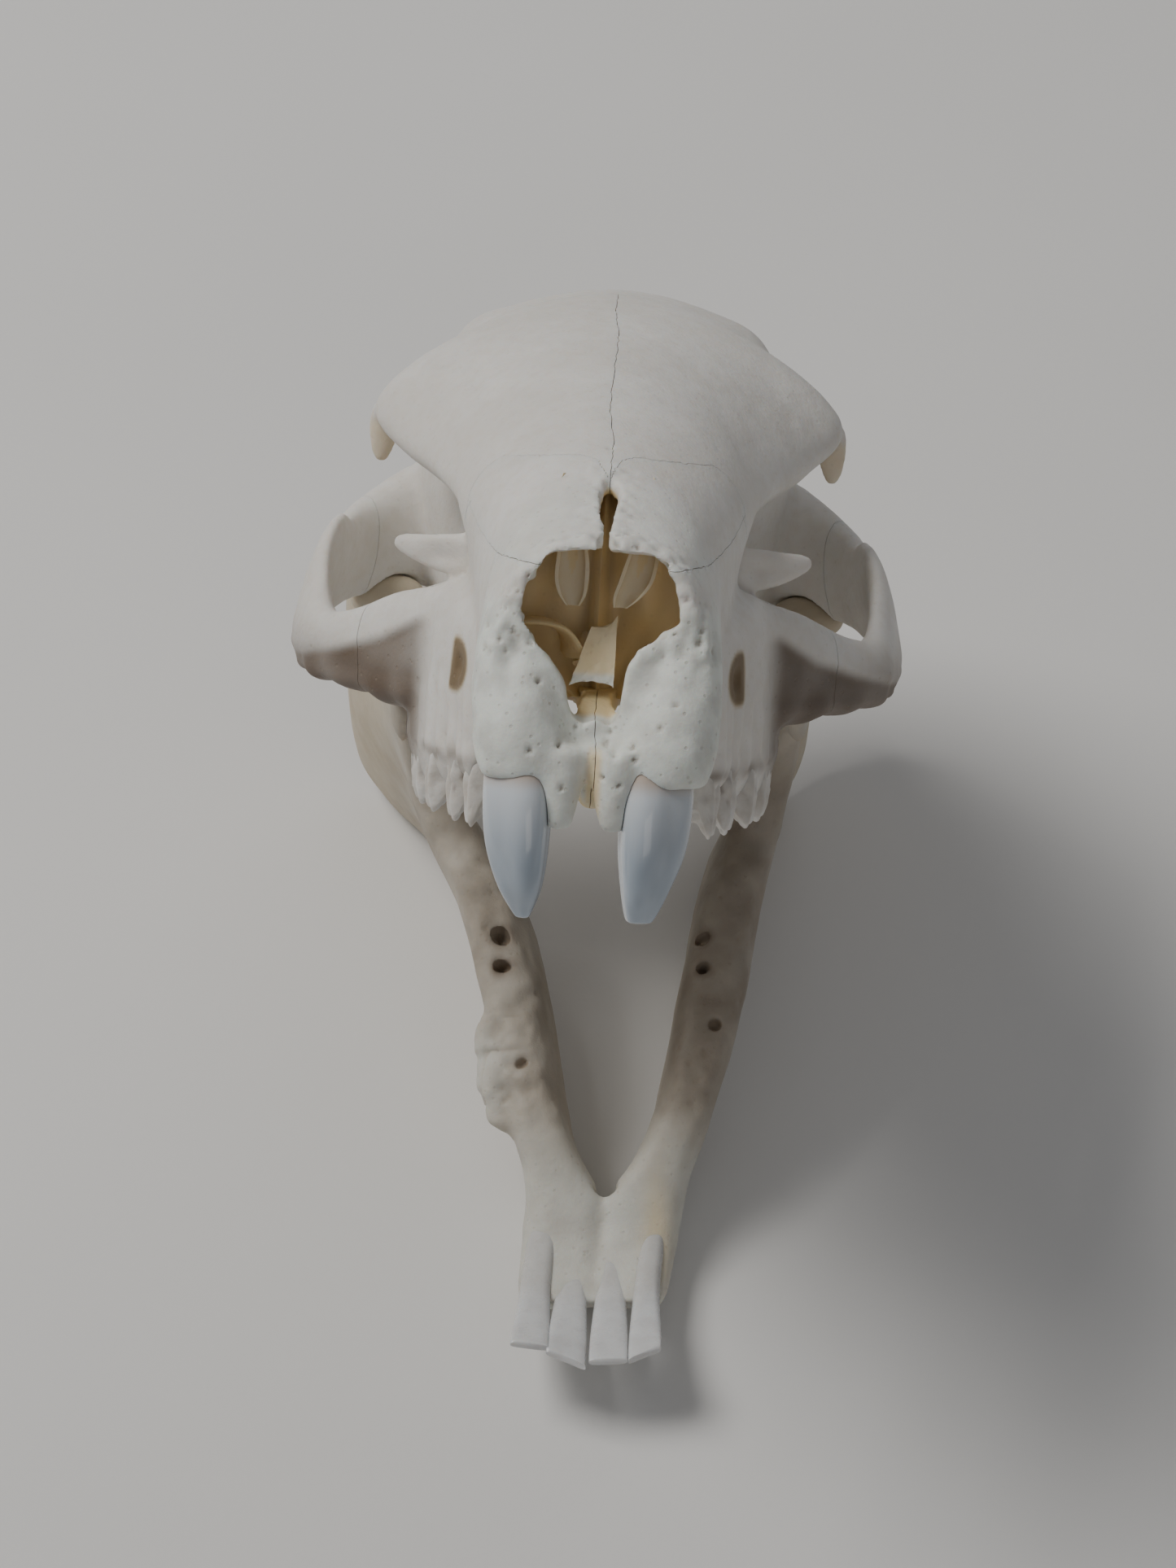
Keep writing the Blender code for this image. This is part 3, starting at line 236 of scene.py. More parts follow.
# Each bone of the cranium, and a point near its middle that tells it from the others, mm
BONE_SEEDS = [
    ("nasal_left", (4, 15, 21)), ("nasal_right", (-4, 15, 21)),
    ("premaxilla_left", (6, 7, 4)), ("premaxilla_right", (-6, 7, 4)),
    ("maxilla_left", (11, 32, 0)), ("maxilla_right", (-11, 32, 0)),
    ("frontal_left", (9, 42, 22)), ("frontal_right", (-9, 42, 22)),
    ("zygomatic_arch_left", (23, 50, 9)), ("zygomatic_arch_right", (-23, 50, 9)),
    ("braincase", (0, 70, 16)), ("occipital", (0, 86, 15)),
]


def profile(table, y):
    """Smooth value of a (y, value) table, by cubic Hermite pieces through its points."""
    at = np.array(table, float)
    ys, values = at[:, 0], at[:, 1]
    slopes = np.gradient(values, ys)
    i = int(np.clip(np.searchsorted(ys, y) - 1, 0, len(ys) - 2))
    step = ys[i + 1] - ys[i]
    t = min(max((y - ys[i]) / step, 0.0), 1.0)
    bend = (2 * t**3 - 3 * t**2 + 1) * values[i] + (3 * t**2 - 2 * t**3) * values[i + 1]
    return bend + step * ((t**3 - 2 * t**2 + t) * slopes[i] + (t**3 - t**2) * slopes[i + 1])


def spline(a, b, c, d, t):
    """The point at share t between b and c on the Catmull-Rom curve through four points."""
    return 0.5 * (2 * b + (c - a) * t + (2 * a - 5 * b + 4 * c - d) * t**2 + (3 * b - a - 3 * c + d) * t**3)


def smooth_path(points, per_span):
    """Curve points through rows of numbers, per_span to a span, both ends kept."""
    rows = np.array(points, float)
    padded = np.vstack([2 * rows[0] - rows[1], rows, 2 * rows[-1] - rows[-2]])
    out = [spline(*padded[i:i + 4], k / per_span) for i in range(len(rows) - 1) for k in range(per_span)]
    return np.array(out + [rows[-1]])


def smooth_ring(points, per_span):
    """A closed curve through the points."""
    rows = np.array(points, float)
    count = len(rows)
    return np.array([spline(*(rows[(i + j - 1) % count] for j in range(4)), k / per_span)
                     for i in range(count) for k in range(per_span)])


def mesh_object(name, points, faces):
    """A new object from points in mm, with its faces turned outward."""
    mesh = bpy.data.meshes.new(name)
    mesh.from_pydata([tuple(p) for p in np.asarray(points, float) * MM], [], faces)
    shape = bmesh.new()
    shape.from_mesh(mesh)
    bmesh.ops.recalc_face_normals(shape, faces=shape.faces)
    shape.to_mesh(mesh)
    shape.free()
    obj = bpy.data.objects.new(name, mesh)
    bpy.context.scene.collection.objects.link(obj)
    return obj


def loft(name, rings):
    """A closed solid through rings of equally many points, with flat ends."""
    rings = [np.asarray(r, float) for r in rings]
    count = len(rings[0])
    faces = []
    for i in range(len(rings) - 1):
        for k in range(count):
            n = (k + 1) % count
            faces.append((i * count + k, i * count + n, (i + 1) * count + n, (i + 1) * count + k))
    faces.append(tuple(range(count)))
    faces.append(tuple((len(rings) - 1) * count + k for k in range(count)))
    return mesh_object(name, np.vstack(rings), faces)


def ellipsoid(name, centre, radii, turn=(0, 0, 0)):
    """An ellipsoid from a sphere primitive; centre and radii in mm, turn in degrees."""
    bpy.ops.mesh.primitive_uv_sphere_add(segments=24, ring_count=14, radius=1.0)
    obj = bpy.context.active_object
    obj.name = name
    turned = Matrix.Identity(4)
    for axis, angle in zip("XYZ", turn):
        turned = Matrix.Rotation(math.radians(angle), 4, axis) @ turned
    scaled = Matrix.Diagonal((*[r * MM for r in radii], 1.0))
    obj.data.transform(Matrix.Translation(Vector(centre) * MM) @ turned @ scaled)
    return obj


def oval(centre, across, up, width, height, count=20, squareness=2.0):
    """A ring of a superellipse in the plane of the unit vectors across and up."""
    ring = []
    for k in range(count):
        a = 2 * math.pi * k / count
        c, s = math.cos(a), math.sin(a)
        x = math.copysign(abs(c) ** (2 / squareness), c) * width
        z = math.copysign(abs(s) ** (2 / squareness), s) * height
        ring.append(np.asarray(centre, float) + np.asarray(across) * x + np.asarray(up) * z)
    return ring


def limb(name, stations, per_span=4, count=18, squareness=2.2):
    """A bar swept through stations (x, y, z, half height, half thickness[, lean]) that lie side by side."""
    rows = smooth_path([tuple(s) + (0,) * (6 - len(s)) for s in stations], per_span)
    centres = rows[:, :3]
    rings = []
    for i, row in enumerate(rows):
        ahead = centres[min(i + 1, len(rows) - 1)] - centres[max(i - 1, 0)]
        ahead /= np.linalg.norm(ahead)
        lean = math.radians(row[5])
        up = np.array([-math.sin(lean), 0, math.cos(lean)])
        across = np.cross(ahead, up)
        across /= np.linalg.norm(across)
        up = np.cross(across, ahead)
        rings.append(oval(row[:3], across, up, row[4], row[3], count, squareness))
    return loft(name, rings)


def taper(name, stations, per_span=3, count=16):
    """A round-sided bar through stations (x, y, z, half length in y, half thickness in x), stacked in z."""
    rows = smooth_path(stations, per_span)
    rings = [oval(r[:3], (1, 0, 0), (0, 1, 0), r[4], r[3], count) for r in rows]
    return loft(name, rings)


def slab(name, corners, thickness, normal):
    """A flat plate: a polygon of corners in mm, grown by half the thickness to each side along normal."""
    step = np.asarray(normal, float) / np.linalg.norm(normal) * thickness / 2
    corners = np.asarray(corners, float)
    count = len(corners)
    faces = [tuple(range(count)), tuple(range(count, 2 * count))]
    for k in range(count):
        n = (k + 1) % count
        faces.append((k, n, count + n, count + k))
    return mesh_object(name, np.vstack([corners - step, corners + step]), faces)


def flipped(obj):
    """Turns obj into its own mirror image across the midline."""
    obj.data.transform(Matrix.Diagonal((-1.0, 1.0, 1.0, 1.0)))
    obj.data.flip_normals()
    return obj


def mirrored(obj):
    """A copy of obj on the other side of the midline."""
    twin = obj.copy()
    twin.data = obj.data.copy()
    bpy.context.scene.collection.objects.link(twin)
    return flipped(twin)


def both_sides(pieces):
    """The pieces and their mirror images."""
    return pieces + [mirrored(p) for p in pieces]


def apply_modifiers(obj):
    """Makes what the modifiers show the object's own mesh."""
    bpy.context.view_layer.update()
    graph = bpy.context.evaluated_depsgraph_get()
    mesh = bpy.data.meshes.new_from_object(obj.evaluated_get(graph))
    old = obj.data
    obj.modifiers.clear()
    obj.data = mesh
    bpy.data.meshes.remove(old)


def merged(name, pieces):
    """One object that holds every piece as it is, with the pieces removed."""
    shape = bmesh.new()
    for piece in pieces:
        shape.from_mesh(piece.data)
        bpy.data.objects.remove(piece)
    mesh = bpy.data.meshes.new(name)
    shape.to_mesh(mesh)
    shape.free()
    obj = bpy.data.objects.new(name, mesh)
    bpy.context.scene.collection.objects.link(obj)
    return obj


def fuse(obj, voxel, rounds):
    """Overlapping pieces become one skin on a voxel grid, and its steps are smoothed."""
    grid = obj.modifiers.new("Fuse", "REMESH")
    grid.mode = "VOXEL"
    grid.voxel_size = voxel * MM
    grid.adaptivity = 0.0
    smooth = obj.modifiers.new("Smooth", "SMOOTH")
    smooth.factor = 0.5
    smooth.iterations = rounds
    apply_modifiers(obj)


def boolean(obj, pieces, operation):
    """Joins or cuts obj with each piece of a list, which are removed."""
    for piece in pieces:
        step = obj.modifiers.new("Boolean", "BOOLEAN")
        step.operation = operation
        step.solver = "MANIFOLD"
        step.object = piece
        apply_modifiers(obj)
        bpy.data.objects.remove(piece)
    return obj


def grown(obj, margin):
    """Pushes every face of obj out by a margin in mm, to cut the room that it sits in."""
    shape = bmesh.new()
    shape.from_mesh(obj.data)
    shape.normal_update()
    moves = [v.normal * margin * MM for v in shape.verts]
    for vert, move in zip(shape.verts, moves):
        vert.co += move
    shape.to_mesh(obj.data)
    shape.free()
    return obj


def points_of(obj):
    """Vertex positions of obj, in mm."""
    flat = np.empty(len(obj.data.vertices) * 3)
    obj.data.vertices.foreach_get("co", flat)
    return flat.reshape(-1, 3) / MM


def normals_of(obj):
    """Vertex normals of obj."""
    flat = np.empty(len(obj.data.vertices) * 3)
    obj.data.vertex_normals.foreach_get("vector", flat)
    return flat.reshape(-1, 3)


def set_points(obj, points):
    """Moves the vertices of obj to points in mm."""
    obj.data.vertices.foreach_set("co", (points * MM).ravel())
    obj.data.update()


def grain(points, size, seed):
    """Smooth noise from -1 to 1 at points in mm, with features of that size."""
    lattice = np.random.default_rng(seed).uniform(-1, 1, (LATTICE, LATTICE, LATTICE))
    at = points / size
    cell = np.floor(at).astype(int)
    part = at - cell
    part = part * part * (3 - 2 * part)
    total = np.zeros(len(points))
    for corner in range(8):
        step = np.array([corner & 1, corner >> 1 & 1, corner >> 2 & 1])
        index = (cell + step) % LATTICE
        share = np.prod(np.where(step == 1, part, 1 - part), axis=1)
        total += share * lattice[index[:, 0], index[:, 1], index[:, 2]]
    return total


def pits(points, spacing, radius, share, seed):
    """How deep each point lies in scattered round pits: 1 in the middle of a pit, 0 outside them."""
    rng = np.random.default_rng(seed)
    place = rng.uniform(0, 1, (LATTICE, LATTICE, LATTICE, 3))
    size = rng.uniform(0.45, 1.0, (LATTICE,) * 3) * (rng.uniform(0, 1, (LATTICE,) * 3) < share)
    at = points / spacing
    cell = np.floor(at).astype(int)
    deepest = np.zeros(len(points))
    for corner in range(27):
        step = np.array([corner % 3, corner // 3 % 3, corner // 9]) - 1
        near = cell + step
        i, j, k = (near % LATTICE).T
        away = np.linalg.norm(at - near - place[i, j, k], axis=1) * spacing
        reach = np.maximum(radius * size[i, j, k], 1e-6)
        deepest = np.maximum(deepest, np.clip(1 - (away / reach) ** 2, 0, 1) * size[i, j, k])
    return deepest


def bell(points, centre, radii):
    """1 at centre, falling off smoothly over the radii in x, y and z."""
    away = (points - np.array(centre, float)) / np.array(radii, float)
    return np.exp(-np.sum(away * away, axis=1))


def rise(values, low, high):
    """0 where values are below low, 1 above high, smooth between."""
    t = np.clip((values - low) / (high - low), 0, 1)
    return t * t * (3 - 2 * t)


def hollowness(obj, rounds):
    """How far each vertex lies below the smoothed surface round it, in mm."""
    points = points_of(obj)
    edges = np.empty(len(obj.data.edges) * 2, int)
    obj.data.edges.foreach_get("vertices", edges)
    a, b = edges.reshape(-1, 2).T
    count = len(points)
    number = np.maximum(np.bincount(a, minlength=count) + np.bincount(b, minlength=count), 1)
    smooth = points.copy()
    for _ in range(rounds):
        total = [np.bincount(a, smooth[b, k], count) + np.bincount(b, smooth[a, k], count)
                 for k in range(3)]
        smooth = 0.5 * smooth + 0.5 * np.stack(total, axis=1) / number[:, None]
    return np.sum((smooth - points) * normals_of(obj), axis=1)


def paint(obj, name, values):
    """Stores a number for each vertex, which the material reads by name."""
    layer = obj.data.attributes.new(name, "FLOAT", "POINT")
    layer.data.foreach_set("value", np.clip(values, 0, 1).astype(np.float32))


def core_ring(y):
    """Cross-section of the cranium's core at y, from the crown round to the floor."""
    top = profile(ROOF_HEIGHT, y)
    edge_x, edge_z = profile(ROOF_EDGE_X, y), profile(ROOF_EDGE_Z, y)
    waist_x, waist_z = profile(WAIST_X, y), profile(WAIST_Z, y)
    flank_x, flank_z = profile(FLANK_X, y), profile(FLANK_Z, y)
    floor = profile(FLOOR_Z, y)
    half = [(0, top), (0.6 * edge_x, top - 0.29 * (top - edge_z)), (edge_x, edge_z), (waist_x, waist_z),
            (flank_x, flank_z), (0.72 * flank_x, floor)]
    outline = half + [(0, floor)] + [(-x, z) for x, z in reversed(half[1:])]
    ring = smooth_ring(outline, 5)
    return [(x, y, z) for x, z in ring]


def core():
    """The cranium's core, from the snout to the occiput."""
    return loft("core", [core_ring(y) for y in CORE_SECTIONS])


def maxilla():
    """The tooth-bearing block of the left maxilla."""
    rings = []
    for y in MAXILLA_SECTIONS:
        inner, outer = profile(MAXILLA_INNER, y), profile(MAXILLA_OUTER, y)
        base, top = profile(MAXILLA_BASE, y), profile(MAXILLA_TOP, y)
        centre = ((inner + outer) / 2, y, (base + top) / 2)
        rings.append(oval(centre, (1, 0, 0), (0, 0, 1), (outer - inner) / 2, (top - base) / 2, 32, 3.2))
    return loft("maxilla", rings)


def premaxilla():
    """The bone round the left tusk's root, the small lobe beside the midline and the process behind it."""
    sheath = [(5.5, 4.0, -1.4, 2.9, 3.4), (5.8, 4.4, 1.6, 3.6, 3.9), (6.2, 5.6, 5.2, 3.9, 3.6),
              (6.9, 7.0, 8.8, 3.4, 2.7), (7.3, 8.2, 12.0, 3.0, 1.6)]
    lobe = [(2.6, 3.2, 1.5, 2.2, 2.2), (2.6, 3.0, -1.8, 1.9, 1.8), (2.6, 2.8, -5.0, 1.0, 1.0)]
    return [taper("premaxilla_sheath", sheath), taper("premaxilla_lobe", lobe),
            ellipsoid("incisive_process", (0.4, 6.6, -1.0), (1.0, 1.8, 2.9))]


def base_of_skull():
    """Bullae, condyles, paroccipital processes and the rim of the occiput."""
    return [
        ellipsoid("bulla", (8.2, 73.5, 2.4), (4.2, 6.0, 4.6), (0, 0, -18)),
        ellipsoid("ear_tube", (13.8, 73.4, 6.5), (3.2, 2.4, 2.6)),
        ellipsoid("mastoid", (14.4, 78.6, 8.0), (2.8, 3.8, 6.0)),
        taper("paroccipital", [(13.0, 79.4, 4.0, 2.4, 1.8), (13.2, 79.6, -1.0, 1.7, 1.2),
                               (13.2, 79.8, -5.2, 0.9, 0.7)]),
        ellipsoid("occipital_condyle", (5.0, 87.6, 6.4), (2.6, 3.2, 4.0), (18, 0, 0)),
        limb("nuchal_crest", [(0, 86.8, 28.0, 1.3, 1.3), (7, 86.6, 26.4, 1.3, 1.3),
                              (12.6, 85.6, 22.0, 1.5, 1.2), (15.6, 84.8, 15.0, 1.6, 1.1),
                              (15.0, 84.0, 9.0, 1.4, 1.0)]),
    ]


def thin_processes():
    """Plates that the strong smoothing would wear away."""
    return [
        slab("pterygoid", [(4.8, 55.2, 6.5), (4.8, 55.2, 1.4), (5.0, 59.0, -1.4), (5.2, 61.4, -2.2),
                           (5.4, 62.0, 0.0), (5.8, 63.5, 6.0)], 1.4, (1, 0, 0)),
        limb("lacrimal_process", [(9.6, 29.8, 14.2, 2.0, 0.9), (12.6, 30.2, 14.2, 1.8, 0.8),
                                  (15.0, 31.2, 14.5, 1.3, 0.7), (16.6, 32.2, 14.8, 0.8, 0.6),
                                  (17.2, 32.6, 14.9, 0.4, 0.4)]),
        taper("postorbital_tip", [(18.9, 50.7, 25.4, 1.0, 1.6), (19.2, 51.0, 24.2, 0.8, 1.45),
                                  (19.4, 51.3, 22.8, 0.7, 1.2), (19.5, 51.6, 21.5, 0.6, 0.85),
                                  (19.5, 51.8, 20.7, 0.4, 0.4)]),
    ]


def cranium_cutters():
    """Everything that is hollow in the cranium: nose, foramina, choana and the pits of the jaw joint."""
    holes = [loft("nose", [nose_ring(y) for y in (-4, 0, 3, 5, 6, 7, 8, 9, 12, 16, 20, 24, 28, 31)])]
    slot = [oval((2.3, 9.3, z), (1, 0, 0), (0, 1, 0), 1.1, 4.2, 16) for z in (-4, 7)]
    holes += both_sides([
        loft("incisive_foramen", slot),
        limb("infraorbital_foramen", [(12.4, 13.0, 6.0, 1.6, 1.0), (11.9, 16.5, 6.0, 1.7, 1.1),
                                      (11.6, 19.0, 6.0, 1.5, 0.9), (11.4, 20.2, 6.0, 0.8, 0.5)], 4, 24),
        ellipsoid("optic_foramen", (11.0, 50.5, 12.5), (3.0, 1.3, 1.6), (0, 0, 30)),
        ellipsoid("ear_opening", (17.0, 73.2, 7.0), (3.4, 1.2, 1.2)),
    ])
    holes += jaw_room()
    holes.append(ellipsoid("foramen_magnum", (0, 90.0, 12.0), (5.6, 6.5, 5.0)))
    holes.append(loft("choana", [oval((0, y, 4.0), (1, 0, 0), (0, 0, 1), 3.9, h, 20)
                                 for y, h in ((66, 0.6), (60, 2.2), (54, 3.4), (48, 3.4), (44, 2.6))]))
    holes.append(ellipsoid("frontal_foramen", (0.0, 18.7, 24.2), (0.36, 0.26, 0.8)))
    return holes


def jaw_room():
    """The space that the opened jaw's joint and upper edge need, in the cranium's frame."""
    pieces = both_sides([half_jaw(), taper("condyle_neck", CONDYLE_NECK)]) + [condyle(-1), condyle(1)]
    turn = (Matrix.Translation(JOINT) @ Matrix.Rotation(math.radians(-CRANIUM_ROLL), 4, "Y")
            @ Matrix.Rotation(math.radians(GAPE), 4, "X") @ Matrix.Translation(-JOINT))
    for piece in pieces:
        set_uneven(grown(piece, JAW_ROOM)).data.transform(turn)
    return pieces


def condyle(side):
    """The roller of the jaw joint, in the mandible's own frame."""
    turn = Matrix.Rotation(math.radians(-GAPE), 4, "X")
    turn = turn @ Matrix.Rotation(math.radians(CRANIUM_ROLL), 4, "Y")
    centre = Vector((0, JOINT_Y, JOINT_Z)) + turn @ Vector((side * JOINT_X, 0, 0))
    return ellipsoid("condyle", centre, CONDYLE_RADII, (0, side * CRANIUM_ROLL, 0))


def jaw_ring(y):
    """Cross-section of half the mandible at y: a tall plate that may lean and thin downward."""
    top, base = profile(JAW_TOP, y), profile(JAW_BASE, y)
    base_x, base_half = profile(JAW_BASE_X, y), profile(JAW_BASE_HALF, y)
    top_x, top_half = profile(JAW_TOP_X, y), profile(JAW_TOP_HALF, y)
    ring = []
    for w, _, h in oval((0, 0, 0), (1, 0, 0), (0, 0, 1), 1, 1, 32, 3.0):
        up = (h + 1) / 2
        x = (1 - up) * base_x + up * top_x
        half = (1 - up) * base_half + up * top_half
        ring.append((x + w * half, y, base + up * (top - base)))
    return ring


def half_jaw():
    """The left half of the mandible, without its processes."""
    return loft("half_jaw", [jaw_ring(y) for y in JAW_SECTIONS])


def ramp(value):
    """0 below 0, 1 above 1, smooth between."""
    value = min(max(value, 0.0), 1.0)
    return value * value * (3 - 2 * value)


def set_uneven(obj):
    """Moves the chin and the angles of the jaw sideways."""
    for vert in obj.data.vertices:
        y, z = vert.co.y / MM, vert.co.z / MM
        shift = profile(JAW_SHIFT, y) + profile(LOW_SHIFT, y) * ramp((-4 - z) / 14)
        vert.co.x += shift * MM
    return obj


def rest_cutter():
    """Takes a thin slice off the lower border, which lies on the floor."""
    slope = math.radians(FLOOR_SLOPE)
    along = np.array([0, math.cos(slope), -math.sin(slope)])
    down = np.array([0, -math.sin(slope), -math.cos(slope)])
    lowest = max(np.dot((0, y, profile(JAW_BASE, y)), down) for y in np.arange(8, 80, 0.5))
    middle = along * 30 + down * (lowest - REST_CUT + 5)
    return slab("rest", [middle + along * a + np.array([b, 0, 0]) for a, b in
                         ((-60, -40), (60, -40), (60, 40), (-60, 40))], 10, down)


def loose_parts(obj):
    """One object for each connected surface of obj, the largest first."""
    bpy.ops.object.select_all(action="DESELECT")
    bpy.context.view_layer.objects.active = obj
    obj.select_set(True)
    bpy.ops.mesh.separate(type="LOOSE")
    return sorted(bpy.context.selected_objects, key=lambda part: -len(part.data.vertices))


def keep_largest(obj):
    """Drops every loose scrap, so that one closed surface stays."""
    parts = loose_parts(obj)
    for scrap in parts[1:]:
        bpy.data.objects.remove(scrap)
    return parts[0]


def curtain(name, line, low, high, seed, wobble, axis="z"):
    """A hair-thin wavy cut: a line of (x, y) points drawn out along z, or of (y, z) points along x."""
    rng = np.random.default_rng(seed)
    path = smooth_path(line, 10)
    rings = []
    for i, (a, b) in enumerate(path):
        ahead = path[min(i + 1, len(path) - 1)] - path[max(i - 1, 0)]
        normal = np.array([-ahead[1], ahead[0]]) / np.linalg.norm(ahead)
        middle = np.array([a, b]) + normal * rng.uniform(-wobble, wobble)
        near, far = middle - normal * SEAM / 2, middle + normal * SEAM / 2
        if axis == "x":
            rings.append([(low, *near), (high, *near), (high, *far), (low, *far)])
        else:
            rings.append([(*near, low), (*near, high), (*far, high), (*far, low)])
    return loft(name, rings)


def sutures():
    """Thin cuts where the bones of the cranium meet."""
    naso = [(0.5, 14.7), (1.0, 16.4), (2.2, 17.6), (4.2, 18.8), (6.4, 21.0), (8.6, 24.2)]
    frontonasal = [(-x, y) for x, y in reversed(naso)] + [(0, 13.4)] + naso
    brow = [(8.4, 23.9), (8.6, 24.2), (10.2, 25.1), (12.0, 24.9), (15, 24.6)]
    orbit = [(24.2, 18.95), (26, 17.0), (29, 12.4), (31, 11.3), (36, 11.0), (44, 8.6), (56.4, 6.5)]
    nasal_side = [(-2, 14.8), (4, 15.3), (8, 15.5), (12.2, 15.6), (16, 16.1), (20, 17.0), (22.5, 17.8),
                  (25.0, 18.9)]
    snout = [(9.4, -8), (9.6, -2), (10.2, 3), (11.0, 10), (12.35, 16)]
    middle = [(0, -4), (0.05, 2), (-0.1, 6), (0.1, 14), (0.25, 20), (-0.1, 26), (0.1, 34), (0.35, 42),
              (0.1, 49), (0.2, 56.3)]
    return [
        curtain("midline", middle, -8, 46, 11, 0.07),
        curtain("coronal", [(-20, 56), (-7, 55.8), (0, 56), (7, 56.1), (20, 56)], 6.4, 44, 12, 0.16),
        curtain("behind_palate", [(-16, 54.4), (0, 54.4), (16, 54.4)], -6, 7.1, 13, 0.05),
        curtain("lambdoid", [(-19, 83), (-8, 83.1), (0, 82.8), (8, 83.1), (19, 83)], -4, 42, 14, 0.16),
        curtain("frontonasal", frontonasal, 15.9, 40, 15, 0.10),
        curtain("frontomaxillary", orbit, -19.5, 19.5, 16, 0.06, "x"),
        curtain("premaxillary", snout, -12, 12, 17, 0.05, "x"),
    ] + both_sides([
        curtain("frontonasal_side", brow, 17.0, 40, 21, 0.05),
        curtain("nasomaxillary", nasal_side, 3.6, 15, 18, 0.06, "x"),
        curtain("zygomatic_front", [(16.6, 38.2), (18.7, 36.2), (20.8, 33.8)], -4, 14, 19, 0.06),
        curtain("zygomatic_back", [(18.9, 62.2), (21.4, 64.1), (24.0, 66.2)], 4, 22, 20, 0.06),
    ])


def tooth_peaks():
    """Where along y the two outer roots of each cheek tooth stand."""
    peaks = []
    y = TOOTH_ROW_START
    for length, _ in UPPER_TEETH:
        peaks += [y + 0.27 * length, y + 0.73 * length]
        y += length
    return peaks


def under_arch(x, y, z):
    """1 on the hollow lower face of the zygomatic bone, below the edge of the orbit."""
    side = np.abs(x)
    edge = np.interp(side, (14.8, 18.2, 21.7, 26.4), (9.0, 6.9, 5.7, 4.8))
    return rise(side, 13.4, 15.6) * rise(edge - z, -0.5, 0.9) * (y > 24) * (1 - rise(y, 48, 56))


def sculpt_cranium(obj):
    """Unevenness, pores, crumbled margins and the swellings over the tooth roots."""
    p = points_of(obj)
    n = normals_of(obj)
    x, y, z = p.T
    side = np.abs(x)
    push = 0.12 * grain(p, 7.0, 1) + 0.04 * grain(p, 2.2, 2)
    rim = (1 - rise(y, 4.6, 7.0)) * rise(z, 7.0, 9.5)
    push += rim * (0.26 * grain(p, 0.8, 3) - 0.40 * pits(p, 1.1, 0.45, 0.8, 4))
    nasal_edge = (1 - rise(side, 1.4, 2.6)) * (1 - rise(y, 14, 17)) * rise(z, 15, 16)
    push += nasal_edge * 0.16 * grain(p, 0.7, 5)
    cavity = rise(y, 7, 10) * (y < 33) * (side < 7.6) * rise(z, 3.4, 5.0) * (z < 24)
    push += cavity * (n[:, 2] < 0.2) * 0.30 * grain(p, 1.9, 9)
    face = (1 - rise(y, 8.5, 10.5)) * (1 - rise(z, 11, 13))
    push -= face * 0.22 * pits(p, 2.8, 0.40, 0.10, 6)
    push += face * 0.09 * grain(p, 1.4, 7)
    for px, pz, wide in FACE_PORES:
        push -= 0.42 * bell(p, (px, 1.0, pz), (wide, 6.0, wide)) * (y < 7)
    push -= 0.80 * bell(p, (-7.2, 3.6, 7.4), (1.2, 3.0, 2.0))
    push -= 0.30 * bell(p, (7.4, 3.6, 7.2), (1.0, 3.0, 1.8))
    wall = rise(side, 7.5, 9.5) * rise(z, -2.5, -0.5) * (1 - rise(z, 3.0, 7.0)) * (y < 54)
    ribs = sum(np.exp(-((y - peak - 0.5 * grain(p, 4.0, 10)) / 0.9) ** 2) for peak in tooth_peaks())
    push += wall * (0.32 * np.minimum(ribs, 1.0) - 0.10 + 0.12 * grain(p, 2.0, 11))
    porous = rise(side, 8.0, 10.0) * (1 - rise(z, 2.0, 5.0)) * (y < 54)
    push -= porous * 0.2 * pits(p, 1.4, 0.3, 0.3, 8)
    push -= 0.35 * under_arch(x, y, z) * (1 - rise(n[:, 1], -0.1, 0.3)) * rise(z, 2.4, 4.0)
    push -= 0.5 * bell(np.abs(p), (13.4, 29.0, 14.0), (1.8, 2.4, 1.1)) * (1 - rise(n[:, 1], -0.3, 0.2))
    set_points(obj, p + n * push[:, None])


def sculpt_mandible(obj):
    """Unevenness, pores, the worn rims of the sockets and the broken edge of the right side."""
    p = points_of(obj)
    x, y, z = p.T
    push = 0.14 * grain(p, 6.0, 21) + 0.06 * grain(p, 2.0, 22)
    top = rise(y, 20, 25) * (1 - rise(y, 50, 54)) * rise(z, -11, -8.5)
    push += top * (0.20 * grain(p, 1.5, 23) - 0.18 * pits(p, 1.9, 0.5, 0.35, 24))
    broken = (x < -4) * bell(p, (-10.0, 28.0, -9.5), (3.2, 5.5, 4.0))
    crack = 1 - rise(np.abs(grain(p, 2.6, 28)), 0.02, 0.16)
    push += broken * (0.50 * grain(p, 1.5, 25) + 0.2 * grain(p, 0.7, 29) - 0.22 * crack)
    for out, at, deep in SOCKETS:
        around = bell(p, (out, at, profile(JAW_TOP, at)), (1.0 + 0.1 * deep, 0.9 + 0.1 * deep, 1.6))
        push -= 0.12 * deep * around * (0.8 + 0.4 * grain(p, 1.0, 30))
    chin = 1 - rise(y, 16, 20)
    push += chin * 0.06 * grain(p, 1.8, 27)
    set_points(obj, p + normals_of(obj) * push[:, None])


